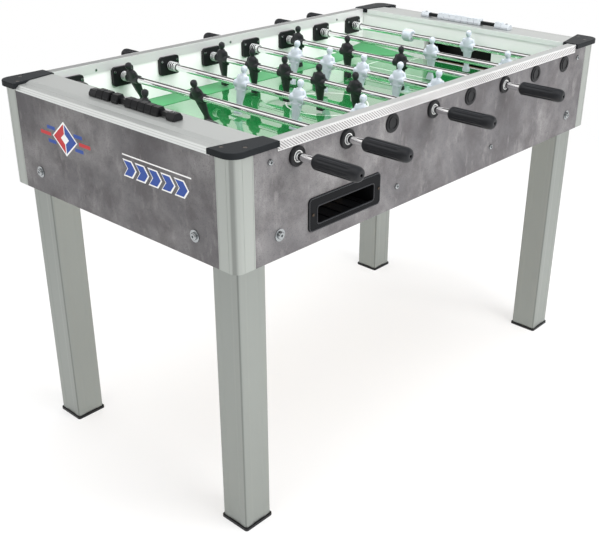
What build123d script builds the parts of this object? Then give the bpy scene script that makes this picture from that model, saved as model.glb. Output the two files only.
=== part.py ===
from build123d import *
import os
from math import atan2, cos, degrees, radians, sin

os.makedirs("parts", exist_ok=True)

# A four-a-side table football game on four square legs, in millimetres. X runs along the field,
# Y across it and Z up, with the floor at zero and the origin under the middle of the field.

# Clearances shared by the whole table
seat_gap = 0.3
screw_gap = 0.3
running_gap = 0.05

# Cabinet
cabinet_length = 1356.0
cabinet_width = 760.0
panel_thickness = 18.0
panel_bottom_z = 648.0
panel_height = 232.0
post_face = 49.6
post_corner_radius = 19.0
post_wall = 2.5
post_port_radius = 5.5
post_port_bore = 2.3
post_port_depth = 30.0
post_groove_width = 1.0
post_groove_depth = 0.3
post_groove_inset = 2.6
panel_top_z = panel_bottom_z + panel_height
half_length = cabinet_length / 2
half_width = cabinet_width / 2
side_inner_y = half_width - panel_thickness
end_inner_x = half_length - panel_thickness
side_end_x = half_length - post_face - seat_gap
end_end_y = half_width - post_face - seat_gap

# Field, walls and goals
rod_below_panel_top = 32.0
field_below_rod = 77.5
glass_thickness = 5.0
field_board_thickness = 12.0
liner_thickness = 3.0
goal_room_depth = 105.0
goal_wall_thickness = 24.0
goal_wall_drop = 7.5
goal_mouth_half_width = 119.5
goal_mouth_sill = 3.5
goal_mouth_height = 73.0
strip_width = 75.0
strip_thickness = 1.0
ramp_corner_length = 131.0
ramp_corner_width = 205.0
ramp_corner_rise = 15.0
rod_z = panel_top_z - rod_below_panel_top
field_top_z = rod_z - field_below_rod
board_top_z = field_top_z - glass_thickness
board_bottom_z = board_top_z - field_board_thickness
liner_y = side_inner_y - liner_thickness
goal_wall_x = half_length - goal_room_depth
goal_wall_back_x = goal_wall_x + goal_wall_thickness
goal_wall_bottom_z = board_bottom_z - goal_wall_drop
goal_mouth_bottom_z = field_top_z - goal_mouth_sill
goal_mouth_top_z = goal_mouth_bottom_z + goal_mouth_height

# Bumper blocks, springs and washers
block_width = 62.0
block_height = 48.0
block_depth = 10.0
block_corner = 8.0
block_edge_round = 1.2
block_bore_radius = 9.0
block_screw_x = 25.0
block_screw_z = 12.5
block_pilot_depth = 10.0
spring_mean_radius = 10.2
spring_wire_radius = 1.0
spring_turns = 5
spring_free_length = 28.5
spring_pressed_length = 16.5
spring_end_gap = 0.15
washer_radius = 12.0
washer_bore_radius = 8.5
washer_thickness = 1.5
pressed_spring_rod_numbers = (2, 4, 6)
block_front_y = liner_y - block_depth
free_stop_y = block_front_y - spring_free_length - washer_thickness - seat_gap
pressed_stop_y = block_front_y - spring_pressed_length - washer_thickness - seat_gap

# Rods
rod_count = 8
keeper_to_goal = 58.5
rod_pitch = 2 * (goal_wall_x - keeper_to_goal) / (rod_count - 1)
tube_radius = 8.0
tube_bore_radius = 6.5
core_radius = tube_bore_radius - running_gap
core_head_radius = 10.0
core_head_length = 3.9
core_overlap_left = 100.0
tube_inner_short = 14.0
near_handle_rod_numbers = (1, 2, 4, 6)
tube_inner_end = liner_y - tube_inner_short

# Men and stop collars, placed along their rod from the last man at the wall opposite the handle
man_hub_radius = 11.5
man_hub_half = 22.0
man_foot_clearance = 5.0
man_foot_radius = field_below_rod - man_foot_clearance
man_head_radius = 9.8
man_head_rise = 35.0
man_neck_radius = 5.0
man_shoulder_rise = 23.0
man_shoulder_width = 33.0
man_shoulder_depth = 17.0
man_chest_rise = 6.0
man_chest_width = 31.0
man_chest_depth = 22.0
man_hip_drop = 16.0
man_hip_width = 28.0
man_hip_depth = 19.0
man_knee_drop = 36.0
man_knee_width = 23.0
man_knee_depth = 15.0
man_ankle_drop = 59.0
man_ankle_width = 18.0
man_ankle_depth = 12.0
man_foot_top_drop = 57.0
man_foot_width = 21.0
man_foot_depth = 14.0
man_foot_top_depth = 11.2
man_body_corner = 4.0
two_man_spacing = 240.0
three_man_spacing = 186.0
five_man_spacing = 116.0
man_counts = {1: 1, 2: 2, 3: 3, 4: 5, 5: 5, 6: 3, 7: 2, 8: 1}
man_spacings = {1: 0.0, 2: two_man_spacing, 3: three_man_spacing, 5: five_man_spacing, 8: 0.0}
man_spacings |= {4: five_man_spacing, 6: three_man_spacing, 7: two_man_spacing}
man_pulls = {1: 0.0, 2: 0.0, 3: 3.7, 4: 0.2, 5: 12.7, 6: 0.0, 7: 0.7, 8: 0.0}
man_tilts = {1: 0.0, 2: -23.0, 3: 14.0, 4: -4.0, 5: 12.0, 6: -3.0, 7: 0.0, 8: 0.0}
keeper_offset = -76.5
collar_radius = 20.0
collar_length = 35.0
collar_round = 3.0
collar_outer_place = 135.0
collar_places = (collar_length / 2 - free_stop_y, collar_outer_place)

# Handles
handle_stand_off = 46.0
handle_length = 115.5
handle_radius = 15.75
handle_disc_radius = 8.5
handle_disc_length = 1.2
handle_shoulder = 7.0
handle_lead_chamfer = 3.0
handle_end_wall = 30.0
flute_count = 8
flute_radius = 5.0
flute_depth = 1.0
flute_end_margin = 17.0
handle_vent_radius = 2.5
handle_vent_depth = 8.0
handle_inner_end = half_width + handle_stand_off
handle_outer_end = handle_inner_end + handle_length
tube_outer_end = handle_outer_end - handle_end_wall

# Rod bearings in the walls
sleeve_radius = 16.0
bushing_radius = 12.0
flange_radius = 21.0
flange_proud = 6.5
flange_bevel = 2.0
flange_recess_radius = 16.5
flange_recess = 1.2
plug_radius = 21.5
plug_proud = 3.8
plug_bevel = 1.5
plug_ring_radius = 15.0
plug_ring_width = 3.0
plug_ring_proud = 1.4
bushing_set_back = 0.8
bushing_mouth_radius = 10.2
bushing_mouth_depth = 2.5

# Rails and corner caps
rail_rise = 10.0
rail_wall = 2.2
rail_edge_chamfer = 0.8
long_rail_inner_lip = 24.0
long_rail_flange_gap = 0.5
long_rail_inner_proud = 2.5
long_rail_outer_proud = 2.3
rib_count = 9
rib_pitch = 2.0
rib_width = 1.0
rib_depth = 0.5
end_rail_inner_proud = 2.0
end_rail_lip = 14.0
end_rail_flat_inset = 38.0
end_rail_step_inset = 26.0
end_rail_ledge_inset = 6.0
end_rail_outer_proud = 4.0
end_rail_ledge_drop = 4.0
end_rail_nose_drop = 11.0
cap_overhang_x = 10.0
cap_overhang_y = 8.0
cap_field_overhang = 6.0
cap_end_width = 68.0
cap_side_width = 45.0
cap_thickness = 12.0
cap_corner = 30.0
cap_edge_round = 2.0
cap_end_screw_inset = 44.0
cap_side_screw_inset = 40.0
cap_side_screw_edge = 10.5
rail_top_z = panel_top_z + rail_rise
long_rail_inner_y = liner_y - long_rail_inner_proud
long_rail_outer_y = half_width + long_rail_outer_proud
long_rail_outer_lip_z = rod_z + flange_radius + long_rail_flange_gap
long_rail_inner_lip_z = rail_top_z - long_rail_inner_lip
end_rail_inner_x = goal_wall_x - end_rail_inner_proud
end_rail_flat_x = half_length - end_rail_flat_inset
end_rail_step_x = half_length - end_rail_step_inset
end_rail_ledge_x = half_length - end_rail_ledge_inset
end_rail_outer_x = half_length + end_rail_outer_proud
end_rail_lip_z = rail_top_z - end_rail_lip
end_rail_ledge_z = rail_top_z - end_rail_ledge_drop
end_rail_nose_z = rail_top_z - end_rail_nose_drop
cap_outer_x = half_length + cap_overhang_x
cap_outer_y = half_width + cap_overhang_y
cap_inner_x = goal_wall_x - cap_field_overhang
cap_end_y = cap_outer_y - cap_end_width
cap_side_y = cap_outer_y - cap_side_width
long_rail_half_length = cap_inner_x - seat_gap
cap_screw_places = (
    (half_length - panel_thickness / 2 - 3.0, half_width - cap_end_screw_inset),
    (half_length - cap_side_screw_inset, half_width - cap_side_screw_edge),
)

# Legs
leg_size = 75.8
leg_inset = 25.4
leg_wall = 3.0
leg_corner = 6.0
leg_bore_corner = leg_corner - leg_wall / 2
leg_groove_width = 30.0
leg_groove_slope = 5.0
leg_groove_depth = 0.7
leg_below_board = 12.5
foot_height = 7.0
foot_oversize = 2.85
foot_corner = 6.0
foot_plug_wall = 2.5
foot_plug_rise = 20.0
socket_wall = 3.1
socket_height = 73.0
socket_plate = 4.0
wing_reach = 28.0
leg_top_z = board_bottom_z - leg_below_board
leg_outer_x = half_length - leg_inset
leg_outer_y = half_width - leg_inset
leg_x = leg_outer_x - leg_size / 2
leg_y = leg_outer_y - leg_size / 2
socket_half = leg_size / 2 + seat_gap + socket_wall
socket_top_z = leg_top_z + socket_plate
socket_bottom_z = socket_top_z - socket_height
wing_thickness_x = end_inner_x - leg_x - socket_half
wing_thickness_y = side_inner_y - leg_y - socket_half

# Underframe
bottom_panel_rise = 4.0
bottom_panel_thickness = 10.0
bearer_places = (-195.0, 183.0)
bearer_thickness = 18.0
cleat_size = 18.0
cleat_end_inset = 133.0
bottom_panel_z = panel_bottom_z + bottom_panel_rise
bottom_top_z = bottom_panel_z + bottom_panel_thickness
cleat_end_x = half_length - cleat_end_inset

# Ball tray in the near side panel and the ball return that feeds it
mouth_from_near_end = 222.0
mouth_width = 177.0
mouth_height = 36.0
tray_frame = 23.0
tray_left_frame = 26.0
tray_low_frame = 15.0
tray_high_frame = 22.0
tray_corner = 10.0
tray_proud = 3.0
mouth_corner = 5.0
pocket_wall = 3.0
pocket_lip = 8.0
pocket_rib_count = 5
pocket_rib_height = 2.0
pocket_rib_width = 2.0
tray_depth = 80.0
chute_thickness = 8.0
chute_margin = 3.0
chute_step = 6.0
chute_fall = 8.0
ramp_step = 3.0
near_ramp_lift = 11.0
ramp_fall_height = 14.0
ramp_room = 39.5
ramp_half_width = 118.0
ramp_back_gap = 6.3
ramp_back_rise = 40.0
fence_thickness = 6.7
fence_gap = 3.5
goal_box_wall = 3.0
goal_box_back_gap = 3.0
goal_box_top_gap = 2.0
goal_box_side_gap = 1.0
mouth_left_x = mouth_from_near_end - half_length
mouth_right_x = mouth_left_x + mouth_width
tray_left_x = mouth_left_x - tray_left_frame
tray_right_x = mouth_right_x + tray_frame
ramp_sill_z = board_bottom_z - ramp_room
ramp_back_z = ramp_sill_z + ramp_back_rise
ramp_back_x = end_inner_x - ramp_back_gap
far_ramp_end_z = ramp_sill_z - ramp_fall_height
near_ramp_end_z = far_ramp_end_z + near_ramp_lift
far_ramp_end_x = mouth_right_x - chute_margin - 2.0
near_ramp_end_x = mouth_left_x + chute_margin
fence_top_z = board_bottom_z - fence_gap
chute_top_z = far_ramp_end_z - ramp_step
chute_low_z = chute_top_z - chute_fall
chute_end_y = tray_depth - half_width
pocket_floor_z = chute_low_z - chute_step
mouth_low_z = pocket_floor_z + pocket_lip
mouth_high_z = mouth_low_z + mouth_height
tray_low_z = mouth_low_z - tray_low_frame
tray_high_z = mouth_high_z + tray_high_frame
goal_box_half_width = goal_mouth_half_width + goal_box_side_gap + goal_box_wall
goal_box_top_z = panel_top_z - goal_box_top_gap

# Score counters on the end rails
counter_bar_width = 10.0
counter_bar_height = 9.0
counter_bar_rise = 8.0
counter_end_length = 26.0
counter_end_bevel = 1.6
counter_end_wall = 4.0
counter_end_drop = 3.0
bead_pitch = 21.5
bead_half_width = 12.5
bead_shoulder_rise = 7.0
bead_rise = 18.0
bead_crown_half = 7.0
bead_edge_chamfer = 1.6
near_counter_inset = 65.0
near_counter_y = -15.0
near_counter_length = 281.0
far_counter_inset = 71.0
far_counter_y = 0.0
far_counter_length = 306.0
near_bead_counts = (2, 1, 5)
near_gap_shares = (0.0, 0.14, 0.42)
far_bead_counts = (7, 1)
far_gap_shares = (0.41, 0.59)
counter_bar_z = rail_top_z + counter_bar_rise
near_counter_x = near_counter_inset - half_length
far_counter_x = half_length - far_counter_inset

# Screws and bolts
panel_bolt_radius = 4.0
panel_bolt_head_radius = 8.0
panel_bolt_head_height = 5.0
panel_bolt_key = 5.0
panel_washer_radius = 13.0
panel_washer_thickness = 2.0
panel_nut_flat = 13.0
panel_nut_height = 6.5
panel_bolt_rise = 50.5
side_bolt_to_socket = 10.3
end_bolt_to_socket = 11.3
frame_screw_radius = 3.0
frame_screw_head_radius = 6.3
frame_screw_head_height = 4.5
frame_screw_length = 50.0
frame_screw_key = 5.0
wall_screw_drop = 27.0
wall_screw_off_middle = 1.0
small_screw_radius = 1.8
small_screw_head_radius = 3.4
small_screw_head_height = 1.5
cap_screw_radius = 2.0
cap_screw_head_radius = 4.5
cap_screw_head_height = 2.6
cap_screw_length = 28.0
rail_screw_places = (-442.0, 0.0, 442.0)
rail_screw_drop = 16.6
rail_pilot_depth = 8.0
tray_pilot_depth = 12.0
tray_screw_left_frame = 12.0
tray_screw_above_middle = 4.0
tray_screw_right_frame = 6.0
side_bolt_x = leg_x - socket_half - side_bolt_to_socket
end_bolt_y = leg_y - socket_half - end_bolt_to_socket
panel_bolt_z = panel_bottom_z + panel_bolt_rise
wall_screw_z = panel_top_z - wall_screw_drop
rail_screw_z = rail_top_z - rail_screw_drop
goal_wall_mid_x = goal_wall_x + goal_wall_thickness / 2 + wall_screw_off_middle
tray_screw_x = (tray_left_x + tray_screw_left_frame, tray_right_x - tray_screw_right_frame)
tray_screw_z = (mouth_low_z + mouth_high_z) / 2 + tray_screw_above_middle


# Shape helpers
def block(x0, x1, y0, y1, z0, z1):
    return Pos((x0 + x1) / 2, (y0 + y1) / 2, (z0 + z1) / 2) * Box(x1 - x0, y1 - y0, z1 - z0)


def disc_y(radius, y0, y1, x=0.0, z=0.0):
    return Pos(x, (y0 + y1) / 2, z) * Rot(90, 0, 0) * Cylinder(radius, abs(y1 - y0))


def disc_x(radius, x0, x1, y=0.0, z=0.0):
    return Pos((x0 + x1) / 2, y, z) * Rot(0, 90, 0) * Cylinder(radius, abs(x1 - x0))


def disc_z(radius, z0, z1, x=0.0, y=0.0):
    return Pos(x, y, (z0 + z1) / 2) * Cylinder(radius, abs(z1 - z0))


def along_y(points, y0, y1):
    return extrude(Plane.XZ.offset(-y0) * Polygon(*points, align=None), amount=y1 - y0, dir=(0, 1, 0))


def along_x(points, x0, x1):
    return extrude(Plane.YZ.offset(x0) * Polygon(*points, align=None), amount=x1 - x0, dir=(1, 0, 0))


def along_z(points, z0, z1):
    return extrude(Plane.XY.offset(z0) * Polygon(*points, align=None), amount=z1 - z0, dir=(0, 0, 1))


def pick_edges(shape, test):
    return [edge for edge in shape.edges() if test(edge)]


def both_ends(shape):
    return [shape, mirror(shape, about=Plane.YZ)]


def both_sides(shape):
    return [shape, mirror(shape, about=Plane.XZ)]


def four_corners(shape):
    return [copy for half in both_ends(shape) for copy in both_sides(half)]


def rod_x(number):
    return (number - (rod_count + 1) / 2) * rod_pitch


def handle_sign(number):
    return -1 if number in near_handle_rod_numbers else 1


def turn_to(sign):
    return Rot(0, 0, 0) if sign > 0 else Rot(0, 0, 180)


def man_places(number):
    if man_counts[number] == 1:
        return [keeper_offset]
    stop = pressed_stop_y if number in pressed_spring_rod_numbers else free_stop_y
    first = man_pulls[number] - stop + man_hub_half
    return [first + index * man_spacings[number] for index in range(man_counts[number])]


def write(name, shapes):
    solids = [solid for shape in shapes for solid in shape.solids()]
    export_step(Compound(children=solids), "parts/" + name + ".step")


rods = range(1, rod_count + 1)
wall_signs = (-1, 1)


# Side panels: wood boards with holes for the rods, bolts and screws
def side_panel(sign):
    low_y = min(sign * side_inner_y, sign * half_width)
    panel = block(-side_end_x, side_end_x, low_y, low_y + panel_thickness, panel_bottom_z, panel_top_z)
    cuts = []
    for number in rods:
        cuts.append(disc_y(sleeve_radius + seat_gap, low_y, low_y + panel_thickness, rod_x(number), rod_z))
        for shift in (-block_screw_x, block_screw_x):
            pilot_end = sign * (side_inner_y + block_pilot_depth)
            x = rod_x(number) + shift
            z = rod_z + block_screw_z
            cuts.append(disc_y(small_screw_radius + screw_gap, sign * side_inner_y, pilot_end, x, z))
    for x in (-side_bolt_x, side_bolt_x):
        cuts.append(disc_y(panel_bolt_radius + screw_gap, low_y, low_y + panel_thickness, x, panel_bolt_z))
    for x in bearer_places:
        cuts.append(disc_y(frame_screw_radius + screw_gap, low_y, low_y + panel_thickness, x, panel_bolt_z))
    for x in (-goal_wall_mid_x, goal_wall_mid_x):
        cuts.append(disc_y(frame_screw_radius + screw_gap, low_y, low_y + panel_thickness, x, wall_screw_z))
    for x in rail_screw_places:
        pilot_end = sign * (side_inner_y + rail_pilot_depth)
        cuts.append(disc_y(small_screw_radius + screw_gap, sign * side_inner_y, pilot_end, x, rail_screw_z))
    if sign < 0:
        cuts.append(
            block(
                mouth_left_x - pocket_wall - seat_gap,
                mouth_right_x + pocket_wall + seat_gap,
                low_y,
                low_y + panel_thickness,
                pocket_floor_z - pocket_wall - seat_gap,
                mouth_high_z + pocket_wall + seat_gap,
            )
        )
        for x in tray_screw_x:
            pilot_end_y = -half_width + tray_pilot_depth
            cuts.append(disc_y(small_screw_radius + screw_gap, -half_width, pilot_end_y, x, tray_screw_z))
    return panel - cuts


write("side_panels", [side_panel(-1), side_panel(1)])

# End panels
end_panel = block(end_inner_x, half_length, -end_end_y, end_end_y, panel_bottom_z, panel_top_z)
end_panel -= [
    disc_x(panel_bolt_radius + screw_gap, end_inner_x, half_length, y, panel_bolt_z)
    for y in (-end_bolt_y, end_bolt_y)
]
write("end_panels", both_ends(end_panel))


# Corner posts: hollow L extrusions with two screw ports for the cap
def post_outline(inset):
    low_x = half_length - post_face + inset
    low_y = half_width - post_face + inset
    high_x = half_length - inset
    high_y = half_width - inset
    outline = block(low_x, high_x, low_y, high_y, panel_bottom_z, panel_top_z)
    corner = pick_edges(outline, lambda e: e.center().X > high_x - 0.1 and e.center().Y > high_y - 0.1)
    outline = fillet(corner, post_corner_radius - inset)
    notch_x = end_inner_x + inset
    notch_y = side_inner_y + inset
    notch = block(low_x - 1, notch_x, low_y - 1, notch_y, panel_bottom_z, panel_top_z)
    return outline - notch


post = post_outline(0.0) - post_outline(post_wall)
for x, y in cap_screw_places:
    post += disc_z(post_port_radius, panel_bottom_z, panel_top_z, x, y) & post_outline(0.0)
    post -= disc_z(post_port_bore, panel_top_z - post_port_depth, panel_top_z, x, y)
for inset in (post_groove_inset, post_face - post_corner_radius - post_groove_inset):
    x = half_length - post_face + inset
    y = half_width - post_face + inset
    groove_x = block(
        x,
        x + post_groove_width,
        half_width - post_groove_depth,
        half_width,
        panel_bottom_z,
        panel_top_z,
    )
    groove_y = block(
        half_length - post_groove_depth,
        half_length,
        y,
        y + post_groove_width,
        panel_bottom_z,
        panel_top_z,
    )
    post -= [groove_x, groove_y]
write("corner_posts", four_corners(post))

# Long rails: box extrusions over the side panels, ribbed on the outer lip
long_rail_points = [
    (long_rail_inner_y, long_rail_inner_lip_z),
    (long_rail_inner_y, rail_top_z - rail_edge_chamfer),
    (long_rail_inner_y + rail_edge_chamfer, rail_top_z),
    (long_rail_outer_y - rail_edge_chamfer, rail_top_z),
    (long_rail_outer_y, rail_top_z - rail_edge_chamfer),
    (long_rail_outer_y, long_rail_outer_lip_z),
    (half_width + seat_gap, long_rail_outer_lip_z),
    (half_width + seat_gap, panel_top_z),
    (liner_y - seat_gap, panel_top_z),
    (liner_y - seat_gap, long_rail_inner_lip_z),
]
long_rail = along_x(long_rail_points, -long_rail_half_length, long_rail_half_length)
long_rail -= block(
    -long_rail_half_length,
    long_rail_half_length,
    long_rail_inner_y + rail_wall,
    long_rail_outer_y - rail_wall,
    panel_top_z + rail_wall,
    rail_top_z - rail_wall,
)
for index in range(rib_count):
    z = (long_rail_outer_lip_z + rail_top_z) / 2 + (index - (rib_count - 1) / 2) * rib_pitch
    long_rail -= block(
        -long_rail_half_length,
        long_rail_half_length,
        long_rail_outer_y - rib_depth,
        long_rail_outer_y,
        z - rib_width / 2,
        z + rib_width / 2,
    )
for x in rail_screw_places:
    long_rail -= disc_y(small_screw_radius + screw_gap, long_rail_inner_y, liner_y, x, rail_screw_z)
write("long_rails", both_sides(long_rail))

# Corner caps: slanted plates with countersunk screws
cap = along_z(
    [
        (cap_inner_x, cap_side_y),
        (cap_outer_x, cap_end_y),
        (cap_outer_x, cap_outer_y),
        (cap_inner_x, cap_outer_y),
    ],
    panel_top_z,
    panel_top_z + cap_thickness,
)
cap_outer_edge = pick_edges(cap, lambda e: min(e.center().X - cap_outer_x, e.center().Y - cap_outer_y) > -0.1)
cap = fillet(cap_outer_edge, cap_corner)
cap = fillet(cap.faces().sort_by(Axis.Z)[-1].edges(), cap_edge_round)
for x, y in cap_screw_places:
    top_z = panel_top_z + cap_thickness
    cap -= disc_z(cap_screw_radius + screw_gap, panel_top_z, top_z, x, y)
    sink_z = top_z - cap_screw_head_height - screw_gap
    cap -= disc_z(cap_screw_head_radius + screw_gap, sink_z, top_z, x, y)
write("corner_caps", four_corners(cap))

# End rails: wide box extrusions over the goal rooms, cut to the slant of the caps
end_rail_points = [
    (end_rail_inner_x, end_rail_lip_z),
    (end_rail_inner_x, rail_top_z - rail_edge_chamfer),
    (end_rail_inner_x + rail_edge_chamfer, rail_top_z),
    (end_rail_flat_x, rail_top_z),
    (end_rail_step_x, end_rail_ledge_z),
    (end_rail_ledge_x, end_rail_ledge_z),
    (end_rail_outer_x, end_rail_nose_z),
    (end_rail_outer_x, end_rail_lip_z),
    (half_length + seat_gap, end_rail_lip_z),
    (half_length + seat_gap, panel_top_z),
    (goal_wall_x - seat_gap, panel_top_z),
    (goal_wall_x - seat_gap, end_rail_lip_z),
]
end_rail_cavity = [
    (goal_wall_x + rail_wall, panel_top_z + rail_wall),
    (goal_wall_x + rail_wall, rail_top_z - rail_wall),
    (end_rail_flat_x - rail_wall / 4, rail_top_z - rail_wall),
    (end_rail_step_x - rail_wall, end_rail_ledge_z - rail_wall),
    (end_rail_step_x - rail_wall, panel_top_z + rail_wall),
]
cap_slope = (cap_side_y - cap_end_y) / (cap_outer_x - cap_inner_x)
slant_inner_y = cap_side_y - cap_slope * (end_rail_inner_x - cap_inner_x) - seat_gap
slant_outer_y = cap_side_y - cap_slope * (end_rail_outer_x - cap_inner_x) - seat_gap
rail_plan = along_z(
    [
        (end_rail_inner_x, -slant_inner_y),
        (end_rail_outer_x, -slant_outer_y),
        (end_rail_outer_x, slant_outer_y),
        (end_rail_inner_x, slant_inner_y),
    ],
    end_rail_lip_z,
    rail_top_z,
)
end_rail = along_y(end_rail_points, -half_width, half_width) & rail_plan
end_rail -= along_y(end_rail_cavity, -half_width, half_width)


# Score counters: a bar between two end blocks, and hexagonal beads that slide along it
def counter_outline(half_crown, half_base, rise):
    low_z = rail_top_z + seat_gap
    return [
        (-half_base + 1.5, low_z),
        (-half_base, low_z + 2.0),
        (-half_base, low_z + bead_shoulder_rise),
        (-half_crown, low_z + rise),
        (half_crown, low_z + rise),
        (half_base, low_z + bead_shoulder_rise),
        (half_base, low_z + 2.0),
        (half_base - 1.5, low_z),
    ]


def bar_slot(low_y, high_y):
    slot_half = counter_bar_width / 2 + seat_gap
    slot_low = counter_bar_z - counter_bar_height / 2 - seat_gap
    slot_high = counter_bar_z + counter_bar_height / 2 + seat_gap
    return block(-slot_half, slot_half, low_y, high_y, slot_low, slot_high)


def counter_bar(length):
    half = length / 2 - counter_end_wall
    half_height = counter_bar_height / 2
    half_wide = counter_bar_width / 2
    bar = block(-half_wide, half_wide, -half, half, counter_bar_z - half_height, counter_bar_z + half_height)
    for sign in wall_signs:
        y = sign * (length - counter_end_length) / 2
        bar -= disc_z(small_screw_radius + screw_gap, rail_top_z, rail_top_z + bead_rise, 0.0, y)
    return bar


def counter_end():
    outline = counter_outline(bead_crown_half, bead_half_width, bead_rise - counter_end_drop)
    half = counter_end_length / 2
    body = Pos(0, 0, -seat_gap) * along_y(outline, -half, half)
    flat_ends = body.faces().sort_by(Axis.Y)
    body = chamfer(flat_ends[-1].edges() + flat_ends[0].edges(), counter_end_bevel)
    body -= bar_slot(-half, half - counter_end_wall + seat_gap)
    return body - disc_z(small_screw_radius + screw_gap, rail_top_z, rail_top_z + bead_rise)


def bead():
    outline = counter_outline(bead_crown_half, bead_half_width, bead_rise)
    half = bead_pitch / 2 - seat_gap / 2
    body = along_y(outline, -half, half)
    flat_ends = body.faces().sort_by(Axis.Y)
    body = chamfer(flat_ends[-1].edges() + flat_ends[0].edges(), bead_edge_chamfer)
    return body - bar_slot(-half, half)


def end_pair(x, y, length):
    reach = (length - counter_end_length) / 2
    return [
        Pos(x, y + reach, 0) * one_end,
        Pos(x, y - reach, 0) * Rot(0, 0, 180) * one_end,
    ]


def write_bead_groups(label, x, y, length, counts, shares):
    free = length - 2 * counter_end_length - sum(counts) * bead_pitch
    top_y = y + length / 2 - counter_end_length
    for index, size in enumerate(counts):
        top_y -= free * shares[index]
        group = [Pos(x, top_y - (place + 0.5) * bead_pitch, 0) * one_bead for place in range(round(size))]
        write(label + "_beads_" + "abc"[index], group)
        top_y -= size * bead_pitch


one_end = counter_end()
one_bead = bead()
near_counter = (near_counter_x, near_counter_y, near_counter_length)
far_counter = (far_counter_x, far_counter_y, far_counter_length)
near_bar = Pos(near_counter_x, near_counter_y, 0) * counter_bar(near_counter_length)
far_bar = Pos(far_counter_x, far_counter_y, 0) * counter_bar(far_counter_length)
write("counter_bars", [near_bar, far_bar] + end_pair(*near_counter))
write("far_counter_ends", end_pair(*far_counter))
write_bead_groups("near", *near_counter, near_bead_counts, near_gap_shares)
write_bead_groups("far", *far_counter, far_bead_counts, far_gap_shares)

# The end rails take the screws of the counters
end_rail_pair = []
for counter, rail in ((far_counter, end_rail), (near_counter, mirror(end_rail, about=Plane.YZ))):
    x, y, length = counter
    for sign in wall_signs:
        place_y = y + sign * (length - counter_end_length) / 2
        rail -= disc_z(small_screw_radius + screw_gap, rail_top_z - rail_wall, rail_top_z, x, place_y)
    end_rail_pair.append(rail)
write("end_rails", end_rail_pair)

# Legs: square tubes with one shallow groove down each face
leg_profile = RectangleRounded(leg_size, leg_size, leg_corner)
leg_bore = leg_size - 2 * leg_wall
leg_profile -= RectangleRounded(leg_bore, leg_bore, leg_bore_corner)
groove_floor = leg_size / 2 - leg_groove_depth
groove_half = leg_groove_width / 2
groove_wide = groove_half + leg_groove_slope
groove = Polyline(
    (groove_floor, -groove_half),
    (leg_size / 2, -groove_wide),
    (leg_size / 2 + leg_groove_depth, -groove_wide),
    (leg_size / 2 + leg_groove_depth, groove_wide),
    (leg_size / 2, groove_wide),
    (groove_floor, groove_half),
    close=True,
)
for angle in (0, 90, 180, 270):
    leg_profile -= Rot(0, 0, angle) * make_face(groove)
leg = Pos(leg_x, leg_y, foot_height) * extrude(leg_profile, amount=leg_top_z - foot_height)
write("legs", four_corners(leg))

# Feet: plastic caps with a square plug up inside the tube
foot_size = leg_size + 2 * foot_oversize
plug_size = leg_bore - 2 * seat_gap
plug_bore = plug_size - 2 * foot_plug_wall
foot = extrude(RectangleRounded(foot_size, foot_size, foot_corner), amount=foot_height)
foot = chamfer(foot.faces().sort_by(Axis.Z)[-1].edges(), 1.0)
plug_profile = RectangleRounded(plug_size, plug_size, leg_bore_corner)
plug_profile -= RectangleRounded(plug_bore, plug_bore, leg_bore_corner - foot_plug_wall / 2)
foot += Pos(0, 0, foot_height) * extrude(plug_profile, amount=foot_plug_rise)
write("feet", four_corners(Pos(leg_x, leg_y, 0) * foot))

# Leg brackets: a square socket over the leg, welded to two wings on the panels
socket = block(
    leg_x - socket_half,
    leg_x + socket_half,
    leg_y - socket_half,
    leg_y + socket_half,
    socket_bottom_z,
    socket_top_z,
)
socket += block(
    end_inner_x - wing_thickness_x,
    end_inner_x,
    leg_y - socket_half - wing_reach,
    side_inner_y,
    socket_bottom_z,
    socket_top_z,
)
socket += block(
    leg_x - socket_half - wing_reach,
    end_inner_x,
    side_inner_y - wing_thickness_y,
    side_inner_y,
    socket_bottom_z,
    socket_top_z,
)
bore_half = leg_size / 2 + seat_gap
socket -= block(
    leg_x - bore_half,
    leg_x + bore_half,
    leg_y - bore_half,
    leg_y + bore_half,
    socket_bottom_z,
    leg_top_z,
)
wing_bore = panel_bolt_radius + screw_gap
socket -= disc_x(wing_bore, end_inner_x - wing_thickness_x, end_inner_x, end_bolt_y, panel_bolt_z)
socket -= disc_y(wing_bore, side_inner_y - wing_thickness_y, side_inner_y, side_bolt_x, panel_bolt_z)
write("leg_brackets", four_corners(socket))

# Inner walls: thin white liners on the long sides and thick goal walls with a mouth
liner = block(
    -goal_wall_x + seat_gap,
    goal_wall_x - seat_gap,
    liner_y,
    side_inner_y,
    board_top_z + seat_gap,
    panel_top_z,
)
for number in rods:
    liner -= disc_y(sleeve_radius + seat_gap, liner_y, side_inner_y, rod_x(number), rod_z)
    for shift in (-block_screw_x, block_screw_x):
        x = rod_x(number) + shift
        liner -= disc_y(small_screw_radius + screw_gap, liner_y, side_inner_y, x, rod_z + block_screw_z)
for x in rail_screw_places:
    liner -= disc_y(small_screw_radius + screw_gap, liner_y, side_inner_y, x, rail_screw_z)
wall_half = side_inner_y - seat_gap
goal_wall = block(goal_wall_x, goal_wall_back_x, -wall_half, wall_half, goal_wall_bottom_z, panel_top_z)
passage_half = ramp_half_width + fence_thickness + seat_gap * 2
goal_wall -= block(
    goal_wall_x,
    goal_wall_back_x,
    -passage_half,
    passage_half,
    goal_wall_bottom_z,
    board_bottom_z,
)
goal_wall -= block(
    goal_wall_x,
    goal_wall_back_x,
    -goal_mouth_half_width,
    goal_mouth_half_width,
    goal_mouth_bottom_z,
    goal_mouth_top_z,
)
screw_reach = side_inner_y + panel_thickness - frame_screw_length - 2.0
for sign in wall_signs:
    goal_wall -= disc_y(
        frame_screw_radius + screw_gap,
        sign * screw_reach,
        sign * wall_half,
        goal_wall_mid_x,
        wall_screw_z,
    )
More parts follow.
